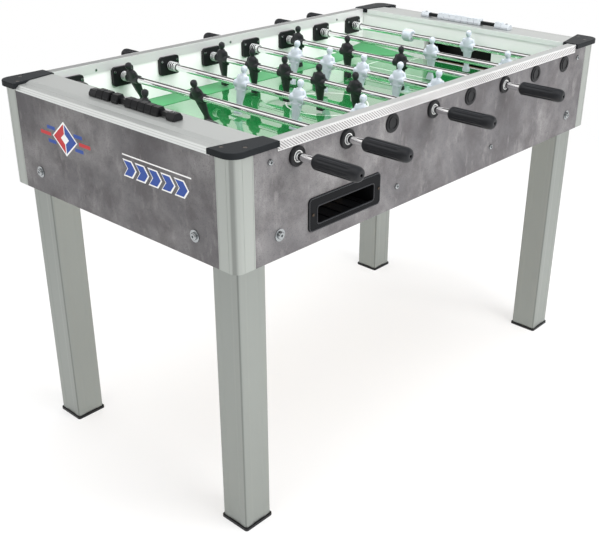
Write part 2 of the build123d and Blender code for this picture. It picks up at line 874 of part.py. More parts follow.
write("inner_walls", both_sides(liner) + both_ends(goal_wall))

# Field: glass sheet on a board
field_half_x = goal_wall_x - seat_gap
glass_half_y = liner_y - seat_gap
field_glass = block(-field_half_x, field_half_x, -glass_half_y, glass_half_y, board_top_z, field_top_z)
write("field_glass", [field_glass])

# Field strips: thin matt strips along the long sides, and a lifted wedge in each corner
strip_outer_y = liner_y - seat_gap
strip_end_x = field_half_x - ramp_corner_length
strip_long_end_x = strip_end_x + ramp_corner_length * strip_width / ramp_corner_width
strip_outline = [
    (-strip_long_end_x, strip_outer_y - strip_width),
    (strip_long_end_x, strip_outer_y - strip_width),
    (strip_end_x, strip_outer_y),
    (-strip_end_x, strip_outer_y),
]
strip = along_z(strip_outline, field_top_z, field_top_z + strip_thickness)
strips = both_sides(strip)
low_corner = (strip_end_x + seat_gap, strip_outer_y)
wall_corner = (field_half_x, strip_outer_y)
goal_corner = (field_half_x, strip_outer_y - ramp_corner_width)
wedge_top_z = field_top_z + ramp_corner_rise
wedge_blank = along_z([low_corner, wall_corner, goal_corner], field_top_z, wedge_top_z + 5.0)
low_edge = Vector(goal_corner[0] - low_corner[0], goal_corner[1] - low_corner[1], 0)
wall_edge = Vector(wall_corner[0] - low_corner[0], 0, ramp_corner_rise)
lift_origin = (low_corner[0], low_corner[1], field_top_z + strip_thickness)
lift = Plane(origin=lift_origin, x_dir=low_edge, z_dir=low_edge.cross(wall_edge))
wedge_parts = split(wedge_blank, bisect_by=lift, keep=Keep.BOTH).solids().sort_by(Axis.Z)
strips += four_corners(wedge_parts[0])
write("field_strips", strips)


# Ball return: a ramp from each goal and a cross chute down to the tray
def ramp(sign, end_x, end_z):
    back = sign * ramp_back_x
    sill = sign * goal_wall_back_x
    top = [(back, ramp_back_z), (sill, ramp_sill_z), (end_x, end_z)]
    under = [(x, z - chute_thickness) for x, z in reversed(top)]
    board = along_y(top + under, -ramp_half_width, ramp_half_width)
    sides = [
        (sill, ramp_sill_z - chute_thickness),
        (sill, fence_top_z),
        (end_x, fence_top_z),
        (end_x, end_z - chute_thickness),
    ]
    for side in wall_signs:
        low_y = ramp_half_width if side > 0 else -ramp_half_width - fence_thickness
        board += along_y(sides, low_y, low_y + fence_thickness)
    return board


far_ramp = ramp(1, far_ramp_end_x, far_ramp_end_z)
near_ramp = ramp(-1, near_ramp_end_x, near_ramp_end_z)
channel_y = ramp_half_width + fence_thickness
chute_points = [
    (channel_y, chute_top_z),
    (chute_end_y, chute_low_z),
    (chute_end_y, chute_low_z - chute_thickness),
    (channel_y, chute_top_z - chute_thickness),
]
chute_left_x = near_ramp_end_x + seat_gap
chute_right_x = far_ramp_end_x - seat_gap
chute = along_x(chute_points, chute_left_x, chute_right_x)
side_points = [
    (-channel_y - seat_gap, fence_top_z - 15.0),
    (chute_end_y, fence_top_z - 15.0),
    (chute_end_y, chute_low_z - chute_thickness),
    (-channel_y - seat_gap, chute_top_z - chute_thickness - 4.0),
]
chute += along_x(side_points, chute_left_x, chute_left_x + fence_thickness)
chute += along_x(side_points, chute_right_x - fence_thickness, chute_right_x)
chute += block(
    chute_left_x,
    chute_right_x,
    channel_y - fence_thickness,
    channel_y,
    chute_top_z - chute_thickness,
    fence_top_z,
)
batten_top_z = chute_low_z - chute_thickness
for low_x in (chute_left_x, chute_right_x - bearer_thickness):
    chute += along_x(
        [
            (channel_y, bottom_top_z),
            (channel_y, chute_top_z - chute_thickness),
            (chute_end_y, batten_top_z),
            (chute_end_y, bottom_top_z),
        ],
        low_x,
        low_x + bearer_thickness,
    )
write("ball_return", [far_ramp, near_ramp, chute])

# Underframe: bottom panel, field board, two cross bearers and the cleats under the board
bottom_half_x = end_inner_x - seat_gap
bottom_half_y = side_inner_y - seat_gap
bottom = block(-bottom_half_x, bottom_half_x, -bottom_half_y, bottom_half_y, bottom_panel_z, bottom_top_z)
notch = block(
    leg_x - leg_size / 2 - seat_gap,
    end_inner_x,
    leg_y - leg_size / 2 - seat_gap,
    side_inner_y,
    bottom_panel_z,
    bottom_top_z,
)
bottom -= four_corners(notch)
field_board = block(
    -field_half_x,
    field_half_x,
    seat_gap - side_inner_y,
    side_inner_y - seat_gap,
    board_bottom_z,
    board_top_z,
)
underframe = [bottom, field_board]
ramp_fall = (ramp_sill_z - far_ramp_end_z) / (goal_wall_back_x - far_ramp_end_x)
for place in bearer_places:
    low_x = place - bearer_thickness / 2
    high_x = place + bearer_thickness / 2
    bearer = block(low_x, high_x, -bottom_half_y, bottom_half_y, bottom_top_z, board_bottom_z)
    seat_z = far_ramp_end_z + ramp_fall * (low_x - far_ramp_end_x) - chute_thickness
    bearer -= block(low_x, high_x, -passage_half, passage_half, seat_z, board_bottom_z)
    for sign in wall_signs:
        bearer -= disc_y(
            frame_screw_radius + screw_gap,
            sign * screw_reach,
            sign * bottom_half_y,
            place,
            panel_bolt_z,
        )
    underframe.append(bearer)
cleat_breaks = [-cleat_end_x]
for place in bearer_places:
    cleat_breaks += [place - bearer_thickness / 2 - seat_gap, place + bearer_thickness / 2 + seat_gap]
cleat_breaks.append(cleat_end_x)
for index in range(0, len(cleat_breaks), 2):
    cleat = block(
        cleat_breaks[index],
        cleat_breaks[index + 1],
        side_inner_y - cleat_size,
        side_inner_y,
        board_bottom_z - cleat_size,
        board_bottom_z,
    )
    underframe += both_sides(cleat)
write("underframe", underframe)

# Goal boxes: black liners behind the mouths
goal_box_back_x = end_inner_x - goal_box_back_gap
goal_box = block(
    goal_wall_back_x + seat_gap,
    goal_box_back_x,
    -goal_box_half_width,
    goal_box_half_width,
    board_bottom_z + seat_gap,
    goal_box_top_z,
)
goal_box -= block(
    goal_wall_back_x,
    goal_box_back_x - goal_box_wall,
    -goal_box_half_width + goal_box_wall,
    goal_box_half_width - goal_box_wall,
    board_bottom_z,
    goal_box_top_z - goal_box_wall,
)
write("goal_boxes", both_ends(goal_box))

# Ball tray: a framed plastic pocket through the near side panel
bezel_y = -half_width - tray_proud
tray_centre_x = (tray_left_x + tray_right_x) / 2
tray_centre_z = (tray_low_z + tray_high_z) / 2
bezel_outline = RectangleRounded(tray_right_x - tray_left_x, tray_high_z - tray_low_z, tray_corner)
bezel_plane = Plane.XZ.offset(half_width) * Pos(tray_centre_x, tray_centre_z)
bezel = extrude(bezel_plane * bezel_outline, amount=tray_proud)
bezel = chamfer(bezel.faces().sort_by(Axis.Y)[0].edges(), 0.8)
pocket_low_z = pocket_floor_z - pocket_wall
tray = bezel + block(
    mouth_left_x - pocket_wall,
    mouth_right_x + pocket_wall,
    -half_width,
    chute_end_y - seat_gap,
    pocket_low_z,
    mouth_high_z + pocket_wall,
)
mouth = block(mouth_left_x, mouth_right_x, bezel_y, -half_width, mouth_low_z, mouth_high_z)
mouth = fillet(mouth.edges().filter_by(Axis.Y), mouth_corner)
tray -= mouth
tray -= block(
    mouth_left_x,
    mouth_right_x,
    -half_width,
    chute_end_y - seat_gap,
    pocket_floor_z,
    mouth_high_z,
)
for index in range(pocket_rib_count):
    x = mouth_left_x + (mouth_right_x - mouth_left_x) * (index + 0.5) / pocket_rib_count
    tray += block(
        x - pocket_rib_width / 2,
        x + pocket_rib_width / 2,
        -half_width,
        chute_end_y - 5.0,
        pocket_floor_z,
        pocket_floor_z + pocket_rib_height,
    )
for x in tray_screw_x:
    tray -= disc_y(small_screw_radius + screw_gap, bezel_y, -half_width, x, tray_screw_z)
write("ball_tray", [tray])

# Rod bearings: a flange on the handle side, a closed plug on the other, nylon bushings in both
flange = disc_y(flange_radius, half_width, half_width + flange_proud)
flange = chamfer(flange.faces().sort_by(Axis.Y)[-1].edges(), flange_bevel)
flange += disc_y(sleeve_radius, liner_y + seat_gap, half_width)
flange -= disc_y(bushing_radius + seat_gap, liner_y, half_width + flange_proud)
flange_face_y = half_width + flange_proud
flange -= disc_y(flange_recess_radius, flange_face_y - flange_recess, flange_face_y)
plug_face_y = half_width + plug_proud
plug = disc_y(plug_radius, half_width, plug_face_y)
plug = chamfer(plug.faces().sort_by(Axis.Y)[-1].edges(), plug_bevel)
plug += disc_y(sleeve_radius, liner_y + seat_gap, half_width)
plug += disc_y(plug_ring_radius, plug_face_y, plug_face_y + plug_ring_proud)
plug -= disc_y(plug_ring_radius - plug_ring_width, plug_face_y, plug_face_y + plug_ring_proud)
plug -= disc_y(bushing_radius + seat_gap, liner_y, half_width)
tube_bushing = disc_y(bushing_radius, liner_y + seat_gap, flange_face_y - bushing_set_back)
tube_bushing -= disc_y(tube_radius + running_gap, liner_y, flange_face_y)
mouth_floor_y = flange_face_y - bushing_set_back - bushing_mouth_depth
tube_bushing -= disc_y(bushing_mouth_radius, mouth_floor_y, flange_face_y)
core_head_low_y = half_width - seat_gap - core_head_length
core_bushing = disc_y(bushing_radius, liner_y + seat_gap, core_head_low_y - seat_gap)
core_bushing -= disc_y(core_radius + running_gap, liner_y, half_width)

# Bumper blocks with a coil spring and a washer in front of each
half_block = block_width / 2
bumper = block(
    -half_block,
    half_block,
    block_front_y,
    liner_y,
    -block_height / 2,
    block_height / 2,
)
bumper = fillet(bumper.edges().filter_by(Axis.Y), block_corner)
bumper = fillet(bumper.faces().sort_by(Axis.Y)[0].edges(), block_edge_round)
bumper -= disc_y(block_bore_radius, block_front_y, liner_y)
lip_gap_z = long_rail_inner_lip_z - rod_z - seat_gap
bumper -= block(-half_block, half_block, long_rail_inner_y - seat_gap, liner_y, lip_gap_z, block_height)
for shift in (-block_screw_x, block_screw_x):
    bumper -= disc_y(small_screw_radius + screw_gap, block_front_y, liner_y, shift, block_screw_z)


def coil(length):
    height = length - 2 * spring_wire_radius - 2 * spring_end_gap
    path = Helix(pitch=height / spring_turns, height=height, radius=spring_mean_radius)
    wire_start = Plane(origin=path @ 0, z_dir=path % 0)
    wire = sweep(wire_start * Circle(spring_wire_radius), path=path, is_frenet=True)
    start_y = block_front_y - spring_end_gap - spring_wire_radius
    return Pos(0, start_y, 0) * Rot(90, 0, 0) * wire


def washer(spring_length):
    far_y = block_front_y - spring_length
    near_y = far_y - washer_thickness
    return disc_y(washer_radius, near_y, far_y) - disc_y(washer_bore_radius, near_y, far_y)


free_coil = coil(spring_free_length)
pressed_coil = coil(spring_pressed_length)
free_washer = washer(spring_free_length)
pressed_washer = washer(spring_pressed_length)
bearing_shells = []
bushings = []
blocks = []
springs = []
for number in rods:
    sign = handle_sign(number)
    axis_place = Pos(rod_x(number), 0, rod_z)
    handle_wall = axis_place * turn_to(sign)
    plug_wall = axis_place * turn_to(-sign)
    pressed = number in pressed_spring_rod_numbers
    bearing_shells += [handle_wall * flange, plug_wall * plug]
    bushings += [handle_wall * tube_bushing, plug_wall * core_bushing]
    blocks += [handle_wall * bumper, plug_wall * bumper]
    springs += [handle_wall * free_coil, plug_wall * (pressed_coil if pressed else free_coil)]
    bushings += [handle_wall * free_washer, plug_wall * (pressed_washer if pressed else free_washer)]
write("rod_flanges", bearing_shells)
write("rod_bushings", bushings)
write("bumper_blocks", blocks)
write("springs", springs)


# Men: one moulding with the hub on the tube, arms, head, joined legs and a foot block
def body_section(z, depth, width):
    return Plane.XY.offset(z) * RectangleRounded(depth, width, man_body_corner)


def man():
    hub = disc_y(man_hub_radius, -man_hub_half, man_hub_half)
    hub_ends = hub.faces().sort_by(Axis.Y)
    hub = chamfer(hub_ends[0].edges() + hub_ends[-1].edges(), 1.5)
    torso = loft(
        [
            body_section(-man_hip_drop, man_hip_depth, man_hip_width),
            body_section(man_chest_rise, man_chest_depth, man_chest_width),
            body_section(man_shoulder_rise, man_shoulder_depth, man_shoulder_width),
        ]
    )
    neck = disc_z(man_neck_radius, man_shoulder_rise - 3.0, man_head_rise)
    head = Pos(0, 0, man_head_rise) * Sphere(man_head_radius)
    legs = loft(
        [
            body_section(-man_ankle_drop, man_ankle_depth, man_ankle_width),
            body_section(-man_knee_drop, man_knee_depth, man_knee_width),
            body_section(4.0 - man_hip_drop, man_hip_depth - 1.0, man_hip_width),
        ]
    )
    foot_outline = [
        (-man_foot_depth / 2, -man_foot_radius - 4.0),
        (-man_foot_top_depth / 2, -man_foot_top_drop),
        (man_foot_top_depth / 2, -man_foot_top_drop),
        (man_foot_depth / 2, -man_foot_radius - 4.0),
    ]
    foot_block = along_y(foot_outline, -man_foot_width / 2, man_foot_width / 2)
    foot_block = foot_block & disc_y(man_foot_radius, -man_foot_width, man_foot_width)
    body = hub + torso + neck + head + legs + foot_block
    return body - disc_y(tube_radius, -man_hub_half, man_hub_half)


# Handles: fluted grips with rounded shoulders and a small end disc
def handle():
    body_end = handle_outer_end - handle_disc_length
    grip = disc_y(handle_radius, handle_inner_end, body_end)
    grip = fillet(grip.faces().sort_by(Axis.Y)[-1].edges(), handle_shoulder)
    grip = chamfer(grip.faces().sort_by(Axis.Y)[0].edges(), handle_lead_chamfer)
    grip += disc_y(handle_disc_radius, body_end, handle_outer_end)
    for index in range(flute_count):
        angle = radians(360.0 * (index + 0.5) / flute_count)
        reach = handle_radius + flute_radius - flute_depth
        low = handle_inner_end + flute_end_margin
        high = handle_outer_end - flute_end_margin - handle_disc_length
        grip -= disc_y(flute_radius, low, high, reach * cos(angle), reach * sin(angle))
    grip -= disc_y(tube_radius, handle_inner_end, tube_outer_end)
    return grip - disc_y(handle_vent_radius, handle_outer_end - handle_vent_depth, handle_outer_end)


one_man = man()
one_handle = handle()
collar = disc_y(collar_radius, -collar_length / 2, collar_length / 2)
collar_ends = collar.faces().sort_by(Axis.Y)
collar = fillet(collar_ends[0].edges() + collar_ends[-1].edges(), collar_round)
collar -= disc_y(tube_radius, -collar_length / 2, collar_length / 2)
for number in rods:
    has_collars = number in (1, rod_count)
    places = man_places(number)
    hub_end = max(places) + man_hub_half
    if has_collars:
        hub_end = max(collar_places) + collar_length / 2
    travel = free_stop_y - hub_end
    core_end = -tube_inner_end + travel + core_overlap_left
    frame = Pos(rod_x(number), 0, rod_z) * turn_to(handle_sign(number))
    tube = disc_y(tube_radius, -tube_inner_end, tube_outer_end)
    tube -= disc_y(tube_bore_radius, -tube_inner_end, tube_outer_end)
    core = disc_y(core_radius, -core_head_low_y, core_end)
    core += disc_y(core_head_radius, -core_head_low_y - core_head_length, -core_head_low_y)
    # Men lean by the tilt of their rod, seen in the table's own axes
    lean = Rot(0, man_tilts[number] * handle_sign(number), 0)
    men = [frame * Pos(0, place, 0) * lean * one_man for place in places]
    if has_collars:
        men += [frame * Pos(0, place, 0) * collar for place in collar_places]
    label = "rod_" + str(number)
    write(label + "_core", [frame * core])
    write(label + "_tube", [frame * tube])
    write(label + "_men", men)
    write(label + "_handle", [frame * one_handle])
    print(label, "travel", round(travel, 2), "x", rod_x(number))


# Fasteners, built with the head's seat at zero and the shank pointing down
def bolt(head_radius, head_height, shank_radius, shank_length, socket_flat):
    head = disc_z(head_radius, 0.0, head_height)
    head = fillet(head.faces().sort_by(Axis.Z)[-1].edges(), head_height * 0.55)
    key_hole = RegularPolygon(socket_flat / 2, 6, major_radius=False)
    socket_cut = Pos(0, 0, head_height * 0.45) * extrude(key_hole, head_height)
    return head - socket_cut + disc_z(shank_radius, -shank_length, 0.0)


def pan_screw(length):
    head = fillet(
        disc_z(small_screw_head_radius, 0.0, small_screw_head_height).faces().sort_by(Axis.Z)[-1].edges(),
        small_screw_head_height * 0.6,
    )
    return head + disc_z(small_screw_radius, -length, 0.0)


panel_bolt_length = panel_washer_thickness + panel_thickness + wing_thickness_x + panel_nut_height + 1.5
panel_bolt = Pos(0, 0, panel_washer_thickness) * bolt(
    panel_bolt_head_radius,
    panel_bolt_head_height,
    panel_bolt_radius,
    panel_bolt_length,
    panel_bolt_key,
)
panel_washer = disc_z(panel_washer_radius, 0.0, panel_washer_thickness)
panel_washer -= disc_z(panel_bolt_radius + screw_gap, 0.0, panel_washer_thickness)
nut_z = -panel_thickness - wing_thickness_x
panel_nut = extrude(RegularPolygon(panel_nut_flat / 2, 6, major_radius=False), panel_nut_height)
panel_nut = Pos(0, 0, nut_z - panel_nut_height) * panel_nut
panel_nut -= disc_z(panel_bolt_radius, nut_z - panel_nut_height, nut_z)
frame_screw = bolt(
    frame_screw_head_radius,
    frame_screw_head_height,
    frame_screw_radius,
    frame_screw_length,
    frame_screw_key,
)
aim = {"+x": Rot(0, 90, 0), "-x": Rot(0, -90, 0), "+y": Rot(-90, 0, 0), "-y": Rot(90, 0, 0)}
fasteners = []
for end in (-1, 1):
    for side in (-1, 1):
        end_place = Pos(end * half_length, side * end_bolt_y, panel_bolt_z) * aim["+x" if end > 0 else "-x"]
        side_place = Pos(end * side_bolt_x, side * half_width, panel_bolt_z) * aim["+y" if side > 0 else "-y"]
        for place in (end_place, side_place):
            fasteners += [place * panel_bolt, place * panel_washer, place * panel_nut]
        wall_place = Pos(end * goal_wall_mid_x, side * half_width, wall_screw_z)
        wall_place = wall_place * aim["+y" if side > 0 else "-y"]
        fasteners.append(wall_place * frame_screw)
for x in bearer_places:
    for side in (-1, 1):
        bearer_place = Pos(x, side * half_width, panel_bolt_z) * aim["+y" if side > 0 else "-y"]
        fasteners.append(bearer_place * frame_screw)
block_screw = pan_screw(block_depth + liner_thickness + block_pilot_depth - 2.0)
for number in rods:
    for side in (-1, 1):
        for shift in (-block_screw_x, block_screw_x):
            place = Pos(rod_x(number) + shift, side * block_front_y, rod_z + block_screw_z)
            fasteners.append(place * aim["-y" if side > 0 else "+y"] * block_screw)
rail_screw = pan_screw(liner_y - long_rail_inner_y + liner_thickness + 6.0)
for x in rail_screw_places:
    for side in (-1, 1):
        place = Pos(x, side * long_rail_inner_y, rail_screw_z)
        fasteners.append(place * aim["-y" if side > 0 else "+y"] * rail_screw)
tray_screw = pan_screw(tray_proud + block_pilot_depth)
for x in tray_screw_x:
    fasteners.append(Pos(x, bezel_y, tray_screw_z) * aim["-y"] * tray_screw)
end_block_top = rail_top_z + bead_rise - counter_end_drop
counter_screw = pan_screw(bead_rise - counter_end_drop + rail_wall)
for x, y, length in (near_counter, far_counter):
    for side in (-1, 1):
        screw_y = y + side * (length - counter_end_length) / 2
        fasteners.append(Pos(x, screw_y, end_block_top) * counter_screw)
cap_screw = disc_z(cap_screw_head_radius, -cap_screw_head_height, 0.0)
cap_screw += disc_z(cap_screw_radius, -cap_screw_length, -cap_screw_head_height)
for x, y in cap_screw_places:
    fasteners += four_corners(Pos(x, y, panel_top_z + cap_thickness - screw_gap) * cap_screw)
write("fasteners", fasteners)
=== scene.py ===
from math import copysign, cos, pi, radians, sin

import bmesh
import bpy
from mathutils import Euler, Matrix, Vector


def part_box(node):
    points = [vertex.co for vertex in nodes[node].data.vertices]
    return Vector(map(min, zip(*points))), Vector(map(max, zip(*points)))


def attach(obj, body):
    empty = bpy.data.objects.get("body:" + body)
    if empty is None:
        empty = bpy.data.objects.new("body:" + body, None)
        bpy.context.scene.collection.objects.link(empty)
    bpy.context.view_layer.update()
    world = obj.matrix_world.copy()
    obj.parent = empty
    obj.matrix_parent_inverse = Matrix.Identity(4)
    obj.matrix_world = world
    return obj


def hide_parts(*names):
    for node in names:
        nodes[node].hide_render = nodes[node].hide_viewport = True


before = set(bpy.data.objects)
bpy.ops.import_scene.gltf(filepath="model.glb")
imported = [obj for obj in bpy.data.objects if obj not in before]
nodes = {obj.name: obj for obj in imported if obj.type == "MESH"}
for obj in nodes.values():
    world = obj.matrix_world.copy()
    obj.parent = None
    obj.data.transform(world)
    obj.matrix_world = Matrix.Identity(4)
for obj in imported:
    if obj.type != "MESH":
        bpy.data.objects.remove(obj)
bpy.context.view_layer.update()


# Legs, corner posts and rails. Aluminium extrusions, satin anodised; the drawn lines of the die
# run along each length. The legs bolt into brackets behind the posts, and the rails hook over
# the cabinet walls.
def fill_ramp(band, stops):
    """Set a colour band's stops; a stop's colour is three numbers, or one for a grey."""
    while len(band.elements) < len(stops):
        band.elements.new(0.5)
    for element, (at, colour) in zip(band.elements, stops):
        shade = colour if hasattr(colour, "__len__") else (colour,) * 3
        element.position = at
        element.color = (*shade, 1.0)


class Finish:
    """The node material of one finish, with short calls for what feeds its shader."""

    def __init__(self, name, **values):
        self.material = bpy.data.materials.new(name)
        self.material.use_nodes = True
        self.tree = self.material.node_tree
        self.shader = self.tree.nodes["Principled BSDF"]
        self.place = self.add("ShaderNodeTexCoord").outputs["Object"]
        self.set(self.shader, **values)

    def add(self, kind, **settings):
        node = self.tree.nodes.new(kind)
        for key, value in settings.items():
            setattr(node, key, value)
        return node

    def set(self, node, **values):
        """Give a node's sockets their values or links, by the sockets' own names."""
        for key, value in values.items():
            socket = node.inputs[key.replace("_", " ")]
            if isinstance(value, bpy.types.NodeSocket):
                self.tree.links.new(value, socket)
            elif hasattr(socket.default_value, "__len__") and len(socket.default_value) == 4:
                socket.default_value = (*value, 1.0)[:4]
            else:
                socket.default_value = value

    def feed(self, node, index, value):
        if isinstance(value, bpy.types.NodeSocket):
            self.tree.links.new(value, node.inputs[index])
        else:
            node.inputs[index].default_value = value

    def math(self, operation, first, second=0.0, third=0.0):
        """One step of arithmetic, by the name that the maths node gives it."""
        node = self.add("ShaderNodeMath", operation=operation)
        for index, value in enumerate((first, second, third)):
            self.feed(node, index, value)
        return node.outputs[0]

    def product(self, first, *others):
        for other in others:
            first = self.math("MULTIPLY", first, other)
        return first

    def split(self, source):
        node = self.add("ShaderNodeSeparateXYZ")
        self.feed(node, 0, source)
        return node.outputs

    def distance(self, across, along):
        squares = self.math("ADD", self.math("POWER", across, 2.0), self.math("POWER", along, 2.0))
        return self.math("SQRT", squares)

    def noise(self, scale, detail=4.0, roughness=0.55, stretch=(1, 1, 1), distortion=0.0):
        mapping = self.add("ShaderNodeMapping")
        self.set(mapping, Vector=self.place, Scale=stretch)
        node = self.add("ShaderNodeTexNoise")
        self.set(node, Vector=mapping.outputs[0], Scale=scale, Detail=detail)
        self.set(node, Roughness=roughness, Distortion=distortion)
        return node.outputs["Fac"]

    def ramp(self, source, *stops):
        node = self.add("ShaderNodeValToRGB")
        fill_ramp(node.color_ramp, stops)
        self.feed(node, 0, source)
        return node.outputs[0]

    def mix(self, amount, first, second):
        """Two colours blended; this node keeps its colours at inputs 6 and 7, and output 2."""
        node = self.add("ShaderNodeMix", data_type="RGBA")
        self.feed(node, 0, amount)
        for index, value in ((6, first), (7, second)):
            linked = isinstance(value, bpy.types.NodeSocket)
            self.feed(node, index, value if linked else (*value, 1.0))
        return node.outputs[2]

    def range(self, source, low, high):
        """The source, from 0 to 1, spread from low to high."""
        node = self.add("ShaderNodeMapRange")
        self.set(node, Value=source, To_Min=low, To_Max=high)
        return node.outputs[0]

    def bump(self, height, strength, distance):
        node = self.add("ShaderNodeBump")
        self.set(node, Height=height, Strength=strength, Distance=distance)
        self.set(self.shader, Normal=node.outputs[0])

    def surface(self, tone, grain, smoothest, roughest):
        """The last step of a finish: its colour, and how the grain changes its roughness."""
        roughness = self.range(grain, smoothest, roughest)
        self.set(self.shader, Base_Color=tone, Roughness=roughness)


def coat_node(material, *names):
    """Give the named nodes this material in place of their plain one."""
    for name in names:
        for slot in nodes[name].material_slots:
            slot.material = material


def tinted(colour, amount):
    """The colour made darker, or lighter where the amount is over 1."""
    return tuple(channel * amount for channel in colour)


def satin_aluminium(name, colour, drawn_along, roughness, metal, detail):
    """Anodised metal; detail is a function that adds what one extrusion has and others lack."""
    finish = Finish(name, Metallic=metal, IOR=1.45)
    stretch = [6.0 if axis == drawn_along else 900.0 for axis in "xyz"]
    lines = finish.noise(1.0, 3.0, 0.6, stretch)
    clouds = finish.noise(9.0, 3.0, 0.5)
    tone = finish.mix(finish.range(lines, 0.25, 0.75), tinted(colour, 0.93), colour)
    tone = finish.mix(finish.range(clouds, 0.0, 0.3), tone, tinted(colour, 0.96))
    facing = finish.split(finish.add("ShaderNodeNewGeometry").outputs["Normal"])
    spot = finish.split(finish.place)
    tone, height = detail(finish, tone, lines, facing, spot)
    finish.surface(tone, lines, roughness - 0.04, roughness + 0.06)
    finish.bump(height, 0.12, 0.0004)
    return finish.material


# A face counts as upright or level where its normal is this near to the axis
square_on = 0.9


def painted_corner_shade(finish, tone, lines, facing, spot):
    """Painted shade: the rounded corners of legs and posts go darker where they turn away from the
    end.
    """
    turned = finish.math("ABSOLUTE", facing[0])
    shade = finish.ramp(turned, (0.55, 0.0), (0.78, 1.0), (0.93, 1.0), (0.985, 0.16), (1.0, 0.16))
    return finish.mix(finish.math("MULTIPLY", shade, 0.50), tone, (0.09, 0.095, 0.09)), lines


def ribbed_lip(finish, tone, lines, facing, spot):
    """Fine slanted ribs are pressed into the upright outer lip, between two bright edges. The tones
    by face direction are painted light and shade: painted shade on the tops, darker still on the far
    rail's top, painted light on the upright faces, a painted highlight along the outer edge of the
    top and painted shade in the ribs.
    """
    rib_low, rib_high = 0.8714, 0.8868
    rib_pitch = 0.0078
    rib_slant = 1.3
    lip_from_y = 0.372
    rim_wide = 0.0020
    rail_edge_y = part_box("long_rails")[1].y
    out = finish.math("ABSOLUTE", spot[1])
    upright = finish.math("GREATER_THAN", finish.math("ABSOLUTE", facing[1]), square_on)
    outer = finish.product(upright, finish.math("GREATER_THAN", out, lip_from_y))
    inner = finish.math("SUBTRACT", upright, outer)
    below = finish.math("LESS_THAN", spot[2], rib_high)
    above = finish.math("GREATER_THAN", spot[2], rib_low)
    band = finish.product(below, above, outer)
    along = finish.math("MULTIPLY_ADD", spot[2], rib_slant, spot[0])
    wave = finish.math("SINE", finish.math("MULTIPLY", along, 2 * pi / rib_pitch))
    rib_bump_and_shade = finish.product(finish.ramp(wave, (0.05, 0.0), (0.35, 1.0)), band)
    up = finish.math("GREATER_THAN", facing[2], square_on)
    far_top_painted_shade = finish.product(up, finish.math("GREATER_THAN", spot[1], 0.0))
    rim_painted_highlight = finish.product(up, finish.math("GREATER_THAN", out, rail_edge_y - rim_wide))
    # Painted shade on the tops and the far top, painted light on the uprights, a painted highlight
    # on the rim, painted shade in the ribs
    tone = finish.mix(finish.product(up, 0.62), tone, (0.22, 0.228, 0.225))
    tone = finish.mix(finish.product(far_top_painted_shade, 0.6), tone, (0.14, 0.145, 0.145))
    tone = finish.mix(finish.product(inner, 0.9), tone, (0.82, 0.80, 0.82))
    tone = finish.mix(finish.product(outer, 0.85), tone, (0.80, 0.79, 0.79))
    tone = finish.mix(rim_painted_highlight, tone, (0.86, 0.87, 0.86))
    tone = finish.mix(rib_bump_and_shade, tone, (0.29, 0.275, 0.28))
    height = finish.math("SUBTRACT", finish.product(lines, 0.3), rib_bump_and_shade)
    return tone, height


def stepped_edge(finish, tone, lines, facing, spot):
    """The flat top is painted darker than the bevel and the ledge, as painted shade; the ledge
    carries fine drawn lines, painted dark as shade in their grooves.
    """
    line_pitch = 0.0045
    ledge_from_x = 0.650
    inner_to_x = 0.63
    up = finish.ramp(facing[2], (0.93, 0.0), (0.985, 1.0))
    out = finish.math("ABSOLUTE", spot[0])
    wave = finish.math("SINE", finish.math("MULTIPLY", out, 2 * pi / line_pitch))
    ledge = finish.math("GREATER_THAN", out, ledge_from_x)
    drawn_line_shade = finish.product(finish.math("GREATER_THAN", wave, 0.80), ledge)
    upright = finish.math("GREATER_THAN", finish.math("ABSOLUTE", facing[0]), square_on)
    inner = finish.product(upright, finish.math("LESS_THAN", out, inner_to_x))
    # Painted shade: the flat top and the fine lines on the ledge are darkened
    tone = finish.mix(finish.product(up, 0.20), tone, (0.20, 0.21, 0.205))
    tone = finish.mix(finish.product(drawn_line_shade, 0.35), tone, (0.20, 0.21, 0.205))
    tone = finish.mix(inner, tone, (0.84, 0.86, 0.85))
    finish.set(finish.shader, Metallic=finish.math("MULTIPLY_ADD", inner, -0.6, 0.75))
    return tone, lines


for node_name, name, colour, drawn_along, roughness, metal, detail in (
    ("legs", "satin_leg_aluminium", (0.338, 0.358, 0.337), "z", 0.36, 0.80, painted_corner_shade),
    # The posts take a lighter copy of the legs' aluminium: painted light
    ("corner_posts", "satin_post_aluminium_painted_light", (0.455, 0.480, 0.453), "z", 0.34, 0.80, painted_corner_shade),
    ("long_rails", "satin_long_rail", (0.60, 0.61, 0.605), "x", 0.34, 0.45, ribbed_lip),
    ("end_rails", "satin_end_rail", (0.78, 0.805, 0.79), "y", 0.42, 0.75, stepped_edge),
):
    coat_node(satin_aluminium(name, colour, drawn_along, roughness, metal, detail), node_name)


